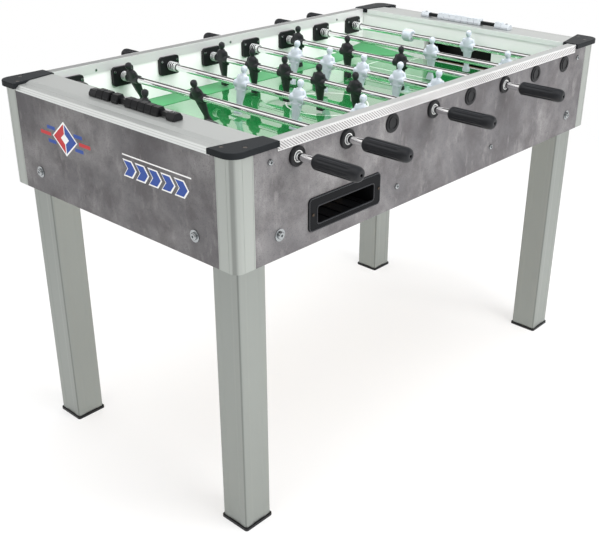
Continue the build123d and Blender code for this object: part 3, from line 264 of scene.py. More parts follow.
# Cabinet panels. Board 18 mm thick, bolted to the leg brackets and faced with a matt laminate
# printed like poured concrete: mauve-grey clouds, darker blots, pale scuffs and fine dark specks.
def concrete_laminate(name, level):
    finish = Finish(name, IOR=1.45, Specular_IOR_Level=0.35)
    clouds = finish.noise(4.6, 6.0, 0.62, distortion=0.4)
    blots = finish.noise(15.0, 5.0, 0.62)
    scuffs = finish.noise(36.0, 6.0, 0.7, stretch=(1.0, 1.0, 0.4))
    specks = finish.noise(520.0, 2.0, 0.6)
    tone = finish.ramp(
        clouds,
        (0.34, tinted((0.094, 0.090, 0.095), level)),
        (0.50, tinted((0.150, 0.145, 0.149), level)),
        (0.66, tinted((0.228, 0.221, 0.221), level)),
    )
    for cover, colour in (
        (finish.ramp(blots, (0.46, 0.0), (0.66, 0.70)), (0.088, 0.081, 0.084)),
        (finish.ramp(scuffs, (0.54, 0.0), (0.74, 0.55)), (0.310, 0.302, 0.300)),
        (finish.ramp(specks, (0.34, 0.5), (0.44, 0.0)), (0.055, 0.052, 0.056)),
    ):
        tone = finish.mix(cover, tone, tinted(colour, level))
    finish.surface(tone, blots, 0.46, 0.62)
    finish.bump(finish.math("ADD", specks, scuffs), 0.10, 0.0006)
    return finish.material


# The end panels' copy is made lighter by its level: painted light
coat_node(concrete_laminate("side_concrete_laminate", 1.0), "side_panels")
coat_node(concrete_laminate("end_concrete_laminate_painted_light", 1.02), "end_panels")


# Printed decoration on the near end panel. Thin screen-printed ink on the laminate: a red and blue
# diamond between short stripes on the left, and a row of blue chevrons with white edges under a
# white line on the right.
def bare_mesh(name, shape):
    """The finished shape as a mesh with no material yet."""
    bmesh.ops.recalc_face_normals(shape, faces=shape.faces)
    mesh = bpy.data.meshes.new(name)
    shape.to_mesh(mesh)
    shape.free()
    return mesh


def add_object(name, data):
    """A new object in the scene, for a mesh, a lamp or a camera."""
    added = bpy.data.objects.new(name, data)
    bpy.context.scene.collection.objects.link(added)
    return added


def flat_print(name, outline, colour, lift):
    """Ink over the outline of (y, z) points, standing proud of the near end panel by lift."""
    face_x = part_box("end_panels")[0].x
    shape = bmesh.new()
    back = [shape.verts.new((face_x - ink_gap, y, z)) for y, z in outline]
    front = [shape.verts.new((face_x - lift, y, z)) for y, z in outline]
    shape.faces.new(front)
    shape.faces.new(list(reversed(back)))
    for index in range(len(outline)):
        after = (index + 1) % len(outline)
        shape.faces.new((front[index], back[index], back[after], front[after]))
    finish = Finish(name + "_ink", Specular_IOR_Level=0.4)
    wear = finish.noise(700.0, 3.0, 0.6)
    clouds = finish.noise(30.0, 3.0, 0.5)
    worn_thin = [0.75 * channel + 0.25 * panel_grey for channel in colour]
    tone = finish.mix(finish.ramp(wear, (0.60, 0.0), (0.75, 0.6)), colour, worn_thin)
    finish.surface(tone, clouds, 0.42, 0.55)
    mesh = bare_mesh(name, shape)
    mesh.materials.append(finish.material)
    piece = add_object(name, mesh)
    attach(piece, "table")


def diamond(y, z, half_wide, half_high):
    return [(y + half_wide, z), (y, z + half_high), (y - half_wide, z), (y, z - half_high)]


def half_diamond(y, z, half_wide, half_high, side):
    return [(y, z + half_high), (y + side * half_wide, z), (y, z - half_high)]


def stripe(left_y, right_y, low_z, high_z):
    return [(left_y, low_z), (left_y, high_z), (right_y, high_z), (right_y, low_z)]


def chevron(left_y, z, half_high, wide, point):
    lower = [(left_y, z - half_high), (left_y - wide, z - half_high), (left_y - wide - point, z)]
    return lower + [(left_y - wide, z + half_high), (left_y, z + half_high), (left_y - point, z)]


ink_white = (0.86, 0.86, 0.85)
ink_red = (0.52, 0.030, 0.035)
ink_blue = (0.022, 0.070, 0.32)
panel_grey = 0.28
ink_gap = 0.00002
first_coat = 0.00010
second_coat = 0.00016
third_coat = 0.00022

badge_y = 0.152
badge_z = 0.800
half_gap = 0.0015
badge_edge = diamond(badge_y, badge_z, half_wide=0.046, half_high=0.039)
red_half = half_diamond(badge_y + half_gap, badge_z, half_wide=0.040, half_high=0.033, side=1)
blue_half = half_diamond(badge_y - half_gap, badge_z, half_wide=0.040, half_high=0.033, side=-1)
badge_core = diamond(badge_y, badge_z, half_wide=0.015, half_high=0.0125)
flat_print("print_diamond_edge", badge_edge, ink_white, first_coat)
flat_print("print_diamond_red", red_half, ink_red, second_coat)
flat_print("print_diamond_blue", blue_half, ink_blue, second_coat)
flat_print("print_diamond_core", badge_core, ink_white, third_coat)

stripe_row = 0.0155
stripe_half = 0.004
stripe_start = 0.052
stripe_lean = 1.1
short_stripe = 0.030
long_stripe = 0.040
for index, row in enumerate((-stripe_row, 0.0, stripe_row)):
    reach = short_stripe if row else long_stripe
    ink = ink_blue if row else ink_red
    low_z = badge_z + row - stripe_half
    high_z = badge_z + row + stripe_half
    left = badge_y + stripe_start - stripe_lean * abs(row)
    right = badge_y - stripe_start + stripe_lean * abs(row)
    left_stripe = stripe(left + reach, left, low_z, high_z)
    right_stripe = stripe(right, right - reach, low_z, high_z)
    flat_print(f"print_stripe_left_{index + 1}", left_stripe, ink, first_coat)
    flat_print(f"print_stripe_right_{index + 1}", right_stripe, ink, first_coat)

chevron_z = 0.787
chevron_left = -0.050
chevron_pitch = 0.040
chevron_inset = 0.0036
for index in range(5):
    left = chevron_left - chevron_pitch * index
    inner_left = left - chevron_inset
    edge = chevron(left, chevron_z, half_high=0.0185, wide=0.030, point=0.014)
    inside = chevron(inner_left, chevron_z, half_high=0.0155, wide=0.0235, point=0.0125)
    flat_print(f"print_chevron_edge_{index + 1}", edge, ink_white, first_coat)
    flat_print(f"print_chevron_{index + 1}", inside, ink_blue, second_coat)

line_right = -0.262
line_low, line_high = 0.8135, 0.8165
line_coat = 0.00012
line = stripe(chevron_left, line_right, line_low, line_high)
flat_print("print_line", line, ink_white, line_coat)


# Plastic parts. Injection-moulded black corner caps, rod flanges, bumper blocks, counter bars,
# goal boxes, ball tray and feet, with a fine spark-eroded grain; screwed or pressed in place.
def moulded_black(name, colour, roughness, grain, gloss=0.30):
    finish = Finish(name, IOR=1.48, Specular_IOR_Level=gloss)
    fine = finish.noise(grain, 3.0, 0.6)
    haze = finish.noise(22.0, 4.0, 0.55)
    tone = finish.mix(finish.range(haze, 0.0, 1.0), colour, tinted(colour, 1.45))
    finish.surface(tone, haze, roughness - 0.05, roughness + 0.07)
    finish.bump(fine, 0.22, 0.0003)
    return finish.material


cap_black = moulded_black("cap_black_plastic", (0.013, 0.0145, 0.016), 0.44, 1500.0, gloss=0.07)
part_black = moulded_black("moulded_black_plastic", (0.0075, 0.0078, 0.0088), 0.36, 1800.0)
tray_black = moulded_black("tray_black_plastic", (0.007, 0.0073, 0.0082), 0.34, 1600.0, gloss=0.06)
coat_node(cap_black, "corner_caps")
coat_node(part_black, "rod_flanges", "bumper_blocks", "counter_bars", "goal_boxes", "feet")
coat_node(tray_black, "ball_tray")


# Score counters. Hexagonal sleeves, moulded in black at the near end and in milky white at the
# far end, sit over a bar between two end blocks and slide along it.
def milky_plastic(name, colour, roughness, depth=0.0):
    """White nylon; depth is how far it lets light in, and it also sets a painted glow that lifts its
    shaded side.
    """
    painted_glow = 0.11
    finish = Finish(
        name,
        IOR=1.48,
        Specular_IOR_Level=0.5,
        Subsurface_Weight=depth,
        Subsurface_Radius=(1.0, 1.0, 1.0),
        Subsurface_Scale=0.006,
        # A painted glow, in step with the depth
        Emission_Color=(0.85, 0.92, 1.0),
        Emission_Strength=painted_glow * depth,
    )
    haze = finish.noise(60.0, 3.0, 0.5)
    tone = finish.mix(finish.range(haze, 0.0, 0.6), colour, tinted(colour, 0.93))
    finish.surface(tone, haze, roughness - 0.05, roughness + 0.05)
    finish.bump(haze, 0.05, 0.0004)
    return finish.material


bead_white = milky_plastic("bead_white_plastic", (0.45, 0.48, 0.51), 0.36)
coat_node(part_black, "near_beads_a", "near_beads_b", "near_beads_c")
coat_node(bead_white, "far_beads_a", "far_beads_b", "far_counter_ends")


# Playfield. Toughened glass 5 mm thick on a board, printed green on its underside with white
# lines. Matt green plastic strips glued on it lift the ball off the walls and out of the corners.
def field_glass_print():
    finish = Finish(
        "printed_field_glass",
        Roughness=0.04,
        IOR=1.5,
        Specular_IOR_Level=0.6,
        Coat_Weight=1.0,
        Coat_Roughness=0.012,
        Coat_IOR=2.35,
    )
    half_line = 0.0022
    corner = 0.002
    centre_line_reach = 0.284
    circle_radius = 0.105
    spot_radius = 0.007
    arc_centre_x = 0.455
    outer_area_x, outer_area_y = 0.385, 0.1965
    inner_area_x, inner_area_y = 0.475, 0.1365
    along, across = finish.split(finish.place)[:2]
    far = finish.math("ABSOLUTE", along)
    side = finish.math("ABSOLUTE", across)

    def line_at(value, place):
        away = finish.math("ABSOLUTE", finish.math("SUBTRACT", value, place))
        return finish.math("LESS_THAN", away, half_line)

    def area(front_x, side_y):
        """The front line and the two side lines of a marked area, at both ends."""
        front_reach = finish.math("LESS_THAN", side, side_y + corner)
        side_reach = finish.math("GREATER_THAN", far, front_x - corner)
        front = finish.product(line_at(far, front_x), front_reach)
        return front, finish.product(line_at(side, side_y), side_reach)

    from_centre = finish.distance(along, across)
    from_arc_centre = finish.distance(finish.math("SUBTRACT", far, arc_centre_x), across)
    centre_reach = finish.math("LESS_THAN", side, centre_line_reach)
    before_area = finish.math("LESS_THAN", far, outer_area_x)
    marks = [
        finish.product(line_at(along, 0.0), centre_reach),
        line_at(from_centre, circle_radius),
        finish.math("LESS_THAN", from_centre, spot_radius),
        *area(outer_area_x, outer_area_y),
        *area(inner_area_x, inner_area_y),
        finish.product(line_at(from_arc_centre, circle_radius), before_area),
    ]
    lines = marks[0]
    for mark in marks[1:]:
        lines = finish.math("MAXIMUM", lines, mark)
    haze = finish.noise(3.0, 3.0, 0.5)
    green = finish.mix(finish.range(haze, 0.3, 0.7), (0.012, 0.190, 0.044), (0.018, 0.225, 0.056))
    finish.set(finish.shader, Base_Color=finish.mix(lines, green, (0.70, 0.80, 0.72)))
    return finish.material


def field_strip_plastic():
    finish = Finish("green_strip_plastic", IOR=1.45, Specular_IOR_Level=0.3)
    fine = finish.noise(900.0, 3.0, 0.6)
    haze = finish.noise(14.0, 3.0, 0.5)
    tone = finish.mix(finish.range(haze, 0.2, 0.8), (0.055, 0.265, 0.100), (0.075, 0.305, 0.125))
    finish.surface(tone, haze, 0.42, 0.52)
    finish.bump(fine, 0.15, 0.0003)
    return finish.material


coat_node(field_glass_print(), "field_glass")
coat_node(field_strip_plastic(), "field_strips")


# Inner walls. Thin liners glued inside the long sides and thick goal walls with a mouth across
# both ends, all faced with a smooth white laminate that the ball has scuffed a little.
def white_laminate():
    finish = Finish("white_laminate", IOR=1.46, Specular_IOR_Level=0.45)
    haze = finish.noise(12.0, 4.0, 0.55)
    scuffs = finish.noise(46.0, 5.0, 0.65, stretch=(0.4, 0.4, 2.0))
    tone = finish.mix(finish.range(haze, 0.0, 0.5), (0.93, 0.915, 0.925), (0.90, 0.885, 0.895))
    tone = finish.mix(finish.ramp(scuffs, (0.66, 0.0), (0.80, 0.18)), tone, (0.55, 0.56, 0.55))
    finish.surface(tone, haze, 0.28, 0.38)
    return finish.material


coat_node(white_laminate(), "inner_walls")


# Hidden woodwork. Raw birch plywood with a long grain and darker pores: bottom panel, field board,
# bearers and cleats, and the ramps and chute that take the ball to the tray; glued and screwed.
def raw_wood():
    finish = Finish("raw_wood", IOR=1.45, Specular_IOR_Level=0.25)
    grain = finish.noise(9.0, 6.0, 0.62, stretch=(0.7, 9.0, 9.0), distortion=0.6)
    pores = finish.noise(260.0, 2.0, 0.6, stretch=(0.12, 1.0, 1.0))
    tone = finish.ramp(
        grain,
        (0.30, (0.46, 0.32, 0.19)),
        (0.55, (0.60, 0.45, 0.28)),
        (0.75, (0.68, 0.54, 0.36)),
    )
    tone = finish.mix(finish.ramp(pores, (0.30, 0.5), (0.42, 0.0)), tone, (0.32, 0.21, 0.12))
    finish.surface(tone, grain, 0.62, 0.75)
    finish.bump(pores, 0.2, 0.0004)
    return finish.material


coat_node(raw_wood(), "underframe", "ball_return")


# Leg brackets and screws. A bracket is a steel socket over the leg, welded to two wings on the
# panels and painted satin black. Screws and bolts are zinc-plated, and browned on the corner caps
# and the ball tray.
def plated_steel(name, colour, roughness, metal=1.0):
    finish = Finish(name, Metallic=metal)
    fine = finish.noise(400.0, 3.0, 0.6)
    haze = finish.noise(30.0, 3.0, 0.5)
    tone = finish.mix(finish.range(haze, 0.2, 0.8), colour, tinted(colour, 0.86))
    finish.surface(tone, fine, roughness - 0.04, roughness + 0.06)
    finish.bump(fine, 0.06, 0.0002)
    return finish.material


def screw_heads():
    """Bright zinc, with brown where the cap screws and the tray screws are."""
    cap_from_x, cap_from_y, cap_from_z = 0.60, 0.31, 0.890
    tray_screws_y = -0.372
    tray_low, tray_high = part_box("ball_tray")
    finish = Finish("zinc_screws", Metallic=1.0)
    spot = finish.split(finish.place)
    on_cap = finish.product(
        finish.math("GREATER_THAN", finish.math("ABSOLUTE", spot[0]), cap_from_x),
        finish.math("GREATER_THAN", finish.math("ABSOLUTE", spot[1]), cap_from_y),
        finish.math("GREATER_THAN", spot[2], cap_from_z),
    )
    on_tray = finish.product(
        finish.math("GREATER_THAN", spot[0], tray_low.x),
        finish.math("LESS_THAN", spot[0], tray_high.x),
        finish.math("LESS_THAN", spot[1], tray_screws_y),
        finish.math("LESS_THAN", spot[2], tray_high.z),
    )
    fine = finish.noise(400.0, 3.0, 0.6)
    bright = finish.mix(finish.range(fine, 0.2, 0.8), (0.47, 0.49, 0.50), (0.36, 0.38, 0.39))
    brown = finish.mix(finish.range(fine, 0.2, 0.8), (0.10, 0.075, 0.055), (0.075, 0.058, 0.045))
    tone = finish.mix(finish.math("MAXIMUM", on_cap, on_tray), bright, brown)
    finish.surface(tone, fine, 0.18, 0.28)
    finish.bump(fine, 0.06, 0.0002)
    return finish.material


coat_node(plated_steel("bracket_black_steel", (0.05, 0.05, 0.052), 0.45), "leg_brackets")
coat_node(screw_heads(), "fasteners")


# Rod bushings and spring washers. Turned white nylon: a bushing pressed into each flange and plug,
# and a washer in front of each spring. Where the tube runs, the mouth is painted dark: painted shade
# in the gap round the tube.
def rod_line(name):
    """Where the middle of a node that lies along its rod stands: its x and its z."""
    low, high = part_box(name)
    return (low.x + high.x) / 2, (low.z + high.z) / 2


def bushing_nylon():
    first_x, rod_z = rod_line("rod_1_tube")
    rod_pitch = abs(rod_line("rod_2_tube")[0] - first_x)
    painted_shade_radius = 0.01005
    finish = Finish("bushing_white_nylon", IOR=1.48, Specular_IOR_Level=0.4)
    spot = finish.split(finish.place)
    along = finish.math("MULTIPLY_ADD", spot[0], 1 / rod_pitch, 0.5)
    aside = finish.product(finish.math("SUBTRACT", along, finish.math("ROUND", along)), rod_pitch)
    above = finish.math("SUBTRACT", spot[2], rod_z)
    mouth_painted_shade = finish.math("LESS_THAN", finish.distance(aside, above), painted_shade_radius)
    fine = finish.noise(500.0, 3.0, 0.6)
    white = finish.mix(finish.range(fine, 0.2, 0.8), (0.70, 0.71, 0.70), (0.64, 0.65, 0.64))
    # Painted shade round the tube's way through
    tone = finish.mix(mouth_painted_shade, white, (0.085, 0.085, 0.09))
    finish.surface(tone, fine, 0.30, 0.42)
    finish.bump(fine, 0.08, 0.0002)
    return finish.material


coat_node(bushing_nylon(), "rod_bushings")


# Rods. Chromed steel tubes that slide over ground steel cores and run in the bushings; the chrome
# is near mirror, with faint polishing lines round it.
def chrome():
    finish = Finish("tube_chrome", Metallic=1.0)
    lines = finish.noise(1.0, 3.0, 0.6, (30.0, 1600.0, 30.0))
    haze = finish.noise(40.0, 3.0, 0.5)
    tone = finish.mix(finish.range(haze, 0.0, 0.5), (0.94, 0.94, 0.95), (0.88, 0.88, 0.89))
    finish.surface(tone, lines, 0.045, 0.08)
    finish.bump(lines, 0.02, 0.0001)
    return finish.material


rod_numbers = range(1, 9)
core_steel = plated_steel("shaft_steel", (0.22, 0.22, 0.23), 0.26)
coat_node(chrome(), *[f"rod_{number}_tube" for number in rod_numbers])
coat_node(core_steel, *[f"rod_{number}_core" for number in rod_numbers])


# Men. One-piece nylon figures screwed to the tube: egg head, bent arms whose elbows reach out
# along the rod, legs joined down to one square foot with flat striking faces.
def skin(shape, rings):
    """A closed skin over rings that have the same number of points."""
    shape.faces.new(list(reversed(rings[0])))
    shape.faces.new(rings[-1])
    for lower, upper in zip(rings, rings[1:]):
        for index in range(len(lower)):
            after = (index + 1) % len(lower)
            shape.faces.new((lower[index], lower[after], upper[after], upper[index]))


def ring(shape, x, z, half_x, half_y, squareness=2.4):
    """A level ring: round at a squareness of 2, and nearer to a square above that."""
    steps = 28
    points = []
    for step in range(steps):
        turn = 2 * pi * step / steps
        across, along = [
            half * copysign(abs(value) ** (2 / squareness), value)
            for half, value in ((half_x, cos(turn)), (half_y, sin(turn)))
        ]
        points.append(shape.verts.new((x + across, along, z)))
    return points


def stack(shape, *sections):
    skin(shape, [ring(shape, *section) for section in sections])


def limb(shape, points, radii, steps=14, upright="X"):
    """A round limb along the points, with a radius at each of them."""
    points = [Vector(point) for point in points]
    turns = [2 * pi * step / steps for step in range(steps)]
    circle = [Vector((cos(turn), sin(turn), 0)) for turn in turns]
    rings = []
    for index, point in enumerate(points):
        ahead = points[min(index + 1, len(points) - 1)] - points[max(index - 1, 0)]
        aim = ahead.to_track_quat("Z", upright).to_matrix()
        rings.append([shape.verts.new(point + aim @ (radii[index] * spot)) for spot in circle])
    skin(shape, rings)


def smooth_mesh(mesh, material):
    mesh.materials.append(material)
    for polygon in mesh.polygons:
        polygon.use_smooth = True
    return mesh


def moulded_mesh(name, shape, *modifiers):
    """The closed shapes in shape, joined and worked over by the modifiers, as one mesh."""
    raw = bare_mesh(name + "_raw", shape)
    blank = add_object(name + "_raw", raw)
    for kind, settings in modifiers:
        modifier = blank.modifiers.new(kind, kind)
        for key, value in settings.items():
            setattr(modifier, key, value)
    bpy.context.view_layer.update()
    ready = blank.evaluated_get(bpy.context.evaluated_depsgraph_get())
    mesh = bpy.data.meshes.new_from_object(ready)
    mesh.name = name
    bpy.data.objects.remove(blank)
    bpy.data.meshes.remove(raw)
    return mesh


mm = 0.001
man_hub_half = 22.0


def man_mesh():
    """One man in millimetres round the middle of the tube, made into metres at the end."""
    shape = bmesh.new()
    # Foot, joined legs, waist, chest and shoulders
    stack(
        shape,
        (0, -72.0, 6.6, 10.2, 7.0),
        (0, -65.0, 6.2, 10.0, 7.0),
        (0, -59.0, 5.2, 8.4, 5.0),
        (0, -54.0, 4.9, 7.0, 3.4),
        (0, -46.0, 5.8, 7.8, 2.8),
        (0, -36.0, 7.0, 9.8, 2.6),
        (0, -25.0, 8.2, 11.6, 2.6),
        (0, -13.0, 9.2, 12.8, 2.6),
        (0, -5.0, 10.2, 13.6, 2.6),
        (0, 5.0, 10.4, 15.2, 2.5),
        (0, 13.0, 9.6, 15.6, 2.4),
        (0, 18.5, 8.2, 14.6, 2.3),
        (0, 22.5, 6.2, 10.8, 2.1),
        (0, 25.0, 4.4, 6.4, 2.0),
    )
    # Neck and head
    stack(shape, (0, 20.0, 4.8, 5.2), (0, 25.0, 4.2, 4.4), (0.4, 30.0, 4.4, 4.6))
    head_steps = 12
    head = []
    for step in range(head_steps + 1):
        rise = -1 + 2 * step / head_steps
        taper = 1.0 + 0.12 * rise
        wide = max(1 - rise * rise, 0.0) ** 0.5 * taper
        head.append((0.6, 34.8 + 10.0 * rise, 8.2 * wide + 0.2, 7.6 * wide + 0.2, 2.1))
    stack(shape, *head)
    # Nose, brow and a ridge of hair
    hair = [(-7.4, 0, 34.5), (-5.2, 0, 40.4), (1.0, 0, 42.6), (5.8, 0, 40.4)]
    limb(shape, [(7.6, 0, 37.6), (9.4, 0, 34.6), (8.2, 0, 32.4)], [0.9, 1.4, 1.1])
    limb(shape, [(6.9, -4.6, 38.6), (8.6, 0, 39.4), (6.9, 4.6, 38.6)], [0.8, 1.3, 0.8])
    limb(shape, hair, [1.6, 2.6, 2.6, 1.4])
    # Collar and belt
    limb(shape, [(5.6, -4.0, 24.6), (6.8, 0, 21.6), (5.6, 4.0, 24.6)], [1.1, 1.1, 1.1])
    belt_turns = [2 * pi * step / 16 for step in range(17)]
    belt = [(9.2 * cos(turn), 12.6 * sin(turn), -13.5) for turn in belt_turns]
    limb(shape, belt, [1.1] * len(belt), 8)
    # Arms bent with the elbows out along the rod and the hands on the hips
    upper_arm = [(0.0, 12.4, 19.6), (-0.6, 16.0, 13.0), (-0.4, 17.8, 5.0), (0.0, 18.2, -1.5)]
    forearm = [(0.0, 18.2, -1.5), (2.0, 17.8, -7.5), (4.4, 15.0, -13.0), (6.0, 12.0, -15.5)]
    for side in (-1, 1):
        limb(shape, [(x, side * y, z) for x, y, z in upper_arm], [4.6, 4.3, 3.8, 3.5])
        limb(shape, [(x, side * y, z) for x, y, z in forearm], [3.5, 3.3, 3.0, 2.6])
    # Boss round the tube
    boss = [(0, y, 0) for y in (-man_hub_half, 1 - man_hub_half, man_hub_half - 1, man_hub_half)]
    limb(shape, boss, [9.8, 10.6, 10.6, 9.8], 28)
    bmesh.ops.transform(shape, matrix=Matrix.Scale(mm, 4), verts=shape.verts)
    return moulded_mesh(
        "man",
        shape,
        ("REMESH", {"mode": "VOXEL", "voxel_size": 0.0009}),
        ("SMOOTH", {"factor": 0.5, "iterations": 3}),
        ("DECIMATE", {"ratio": 0.30}),
    )


man_black = moulded_black("man_black_nylon", (0.013, 0.0134, 0.0155), 0.34, 1400.0, gloss=0.5)
# The white men carry a painted glow that lightens their shaded side
man_white = milky_plastic("man_white_nylon", (0.47, 0.51, 0.565), 0.36, depth=0.6)
# Rods with black men, whose handles are on the tray side; the others have theirs opposite
near_handle_rods = (1, 2, 4, 6)
man_counts = {1: 1, 2: 2, 3: 3, 4: 5, 5: 5, 6: 3, 7: 2, 8: 1}
# How far each rod has been left turned, in degrees
man_leans = {1: 0.0, 2: -23.0, 3: 14.0, 4: -4.0, 5: 12.0, 6: -3.0, 7: 0.0, 8: 0.0}
# A goalkeeper stands this far along from the middle of its rod
keeper_offset = -76.5 * mm
black_man = man_mesh()
white_man = black_man.copy()
smooth_mesh(black_man, man_black)
smooth_mesh(white_man, man_white)


def place_piece(name, mesh, body, replaced=(), place=(0, 0, 0), turn=(0, 0, 0)):
    """A piece that rides on a body, and stands for the replaced nodes where there are any."""
    piece = add_object(name, mesh)
    piece.location = place
    piece.rotation_euler = turn
    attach(piece, body)
    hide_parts(*replaced)


for number in rod_numbers:
    low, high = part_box(f"rod_{number}_men")
    rod_x, rod_z = rod_line(f"rod_{number}_tube")
    near = number in near_handle_rods
    facing = Matrix.Rotation(0 if near else pi, 3, "Z")
    lean = Matrix.Rotation(radians(man_leans[number]), 3, "Y")
    count = man_counts[number]
    first_y = low.y + man_hub_half * mm
    last_y = high.y - man_hub_half * mm
    for index in range(count):
        if count == 1:
            y = -keeper_offset if near else keeper_offset
        else:
            y = first_y + (last_y - first_y) * index / (count - 1)
        place_piece(
            f"rod_{number}_man_{index + 1}",
            black_man if near else white_man,
            f"rod_{number}",
            [f"rod_{number}_men"],
            place=(rod_x, y, rod_z),
            turn=(lean @ facing).to_euler(),
        )


# Stop collars. Thick moulded sleeves pushed on the tube at both sides of each goalkeeper, black on
# the near rod and milky white on the far one, with rounded rims and three shallow grooves.
def join_round(shape, rings):
    """A closed skin over rings that follow each other round until they meet again."""
    for here, there in zip(rings, rings[1:] + rings[:1]):
        for index in range(len(here)):
            after = (index + 1) % len(here)
            shape.faces.new((here[index], there[index], there[after], here[after]))


def turned_shape(outline, steps, radius_at=lambda radius, along, turn: radius):
    """A closed ring of the outline of (radius, along) points, turned about the Y axis."""
    shape = bmesh.new()
    rings = []
    for step in range(steps):
        turn = 2 * pi * step / steps
        points = []
        for radius, along in outline:
            out = radius_at(radius, along, turn) * mm
            points.append(shape.verts.new((out * cos(turn), along * mm, out * sin(turn))))
        rings.append(points)
    join_round(shape, rings)
    return shape


tube_radius = 8.02
collar_outline = [(tube_radius, -14.6), (11.0, -15.2), (14.2, -15.2), (16.2, -13.8), (17.2, -11.2)]
collar_outline += [(17.4, -8.2), (16.7, -7.0), (17.5, -5.6), (17.6, -1.4), (16.9, 0.0), (17.6, 1.4)]
collar_outline += [(17.5, 5.6), (16.7, 7.0), (17.4, 8.2), (17.2, 11.2), (16.2, 13.8), (14.2, 15.2)]
collar_outline += [(11.0, 15.2), (tube_radius, 14.6)]
# Along the rod, at each side of the goalkeeper
collar_places = (("a", -318.7 * mm), ("b", 135.0 * mm))
for number, direction, material, slot_name in (
    (1, -1, man_black, "black_plastic"),
    (8, 1, man_white, "white_plastic"),
):
    rod_x, rod_z = rod_line(f"rod_{number}_tube")
    collar = bare_mesh(f"rod_{number}_collar_ring", turned_shape(collar_outline, 48))
    smooth_mesh(collar, material)
    for letter, along in collar_places:
        place_piece(
            f"rod_{number}_collar_{letter}",
            collar,
            f"rod_{number}",
            [f"rod_{number}_men"],
            place=(rod_x, direction * along, rod_z),
        )


# Grips. Black rubber grips pressed on the tube ends, with broad shallow flutes between plain ends,
# a rounded butt with a small vent hole, and a bevelled shoulder towards the table.
def fluted(radius, along, turn):
    """The radius of a grip once its flutes are cut; they fade out towards both ends."""
    flute_count = 10
    flute_depth = 0.95
    fade = 8.0
    first, last = 12.0, 96.5
    butt_radius = 12.0
    if radius < butt_radius:
        return radius
    window = min(max(min(along - first, last - along) / fade, 0.0), 1.0)
    window = window * window * (3 - 2 * window)
    wave = max(cos(turn * flute_count), -0.25)
    return radius - flute_depth * window * (wave + 0.25)


grip_outline = [(tube_radius, 0.5), (8.4, 0.0), (9.6, 0.0), (12.2, 2.2), (14.6, 5.0), (15.4, 6.6)]
grip_outline += [(15.7, 9.0)] + [(15.75, 12.0 + 2.6 * step) for step in range(33)]
grip_outline += [(15.7, 99.5), (15.6, 103.0), (15.2, 106.5), (14.2, 110.0), (12.4, 113.0)]
grip_outline += [(10.0, 114.8), (7.0, 115.5), (3.6, 115.5), (3.0, 115.0), (2.8, 112.5)]
grip_outline += [(7.9, 112.4), (tube_radius, 112.0)]
grip_black = moulded_black("grip_black_rubber", (0.0105, 0.0112, 0.0128), 0.40, 1300.0, 0.32)
grip = smooth_mesh(bare_mesh("grip", turned_shape(grip_outline, 120, fluted)), grip_black)
for number in rod_numbers:
    low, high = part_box(f"rod_{number}_handle")
    rod_x, rod_z = rod_line(f"rod_{number}_handle")
    near = number in near_handle_rods
    place_piece(
        f"rod_{number}_grip",
        grip,
        f"rod_{number}",
        [f"rod_{number}_handle"],
        place=(rod_x, high.y if near else low.y, rod_z),
        turn=(0, 0, pi if near else 0),
    )


# Ball tray rims. The moulded tray has a rounded bead round its bezel and another round its mouth,
# both in one piece with it; the beads take a lighter black than the tray as a painted highlight.
def frame_bead(shape, centre, half_size, corner, face_y, thick):
    """A rounded bar laid round a rounded rectangle on the plane y = face_y, in millimetres."""
    proud = 1.0
    sunk = 0.02
    corner_steps = 6
    bead_steps = 8
    path = []
    for across, up, start in ((1, 1, 0), (-1, 1, 90), (-1, -1, 180), (1, -1, 270)):
        corner_x = centre[0] + across * (half_size[0] - corner)
        corner_z = centre[1] + up * (half_size[1] - corner)
        for step in range(corner_steps + 1):
            turn = radians(start + 90 * step / corner_steps)
            path.append((corner_x, corner_z, cos(turn), sin(turn)))
    rings = []
    for corner_x, corner_z, right, up in path:
        points = []
        for step in range(bead_steps + 1):
            turn = pi * step / bead_steps
            out = corner + thick / 2 * cos(turn)
            lift = proud * sin(turn) - sunk
            spot = (corner_x + out * right, face_y - lift, corner_z + out * up)
            points.append(shape.verts.new([value * mm for value in spot]))
        rings.append(points)
    join_round(shape, rings)


tray_low, tray_high = (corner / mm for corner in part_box("ball_tray"))
bezel_inset = 1.6
bezel_centre = ((tray_low.x + tray_high.x) / 2, (tray_low.z + tray_high.z) / 2)
bezel_half = (
    (tray_high.x - tray_low.x) / 2 - bezel_inset,
    (tray_high.z - tray_low.z) / 2 - bezel_inset,
)
mouth_from_left = 114.5
mouth_from_bottom = 33.0
mouth_centre = (tray_low.x + mouth_from_left, tray_low.z + mouth_from_bottom)
mouth_half = (90.2, 19.7)
rims_shape = bmesh.new()
frame_bead(rims_shape, bezel_centre, bezel_half, corner=8.4, face_y=tray_low.y, thick=2.8)
frame_bead(rims_shape, mouth_centre, mouth_half, corner=6.6, face_y=tray_low.y, thick=2.6)
# A lighter copy of the tray's black: painted highlight
rim_black_painted_highlight = moulded_black("tray_rim_black", (0.020, 0.021, 0.024), 0.30, 1600.0)
tray_rims = smooth_mesh(bare_mesh("tray_rims", rims_shape), rim_black_painted_highlight)
place_piece("ball_tray_rims", tray_rims, "table")


# Springs and their guides. Steel wire coils between each bumper block and its washer, pressed short
# by the men on the far side of rods 2, 4 and 6; short black sleeves keep them off the tube.
def coil(length, turns):
    """An open coil along Y, from 0 to the length."""
    wire = 0.80 * mm
    radius = 10.9 * mm
    turn_steps = 28
    steps = turn_steps * turns
    points = []
    for step in range(steps + 1):
        turn = 2 * pi * step / turn_steps
        along = wire + (length - 2 * wire) * step / steps
        points.append((radius * cos(turn), along, radius * sin(turn)))
    shape = bmesh.new()
    limb(shape, points, [wire] * len(points), 8, "Y")
    return shape


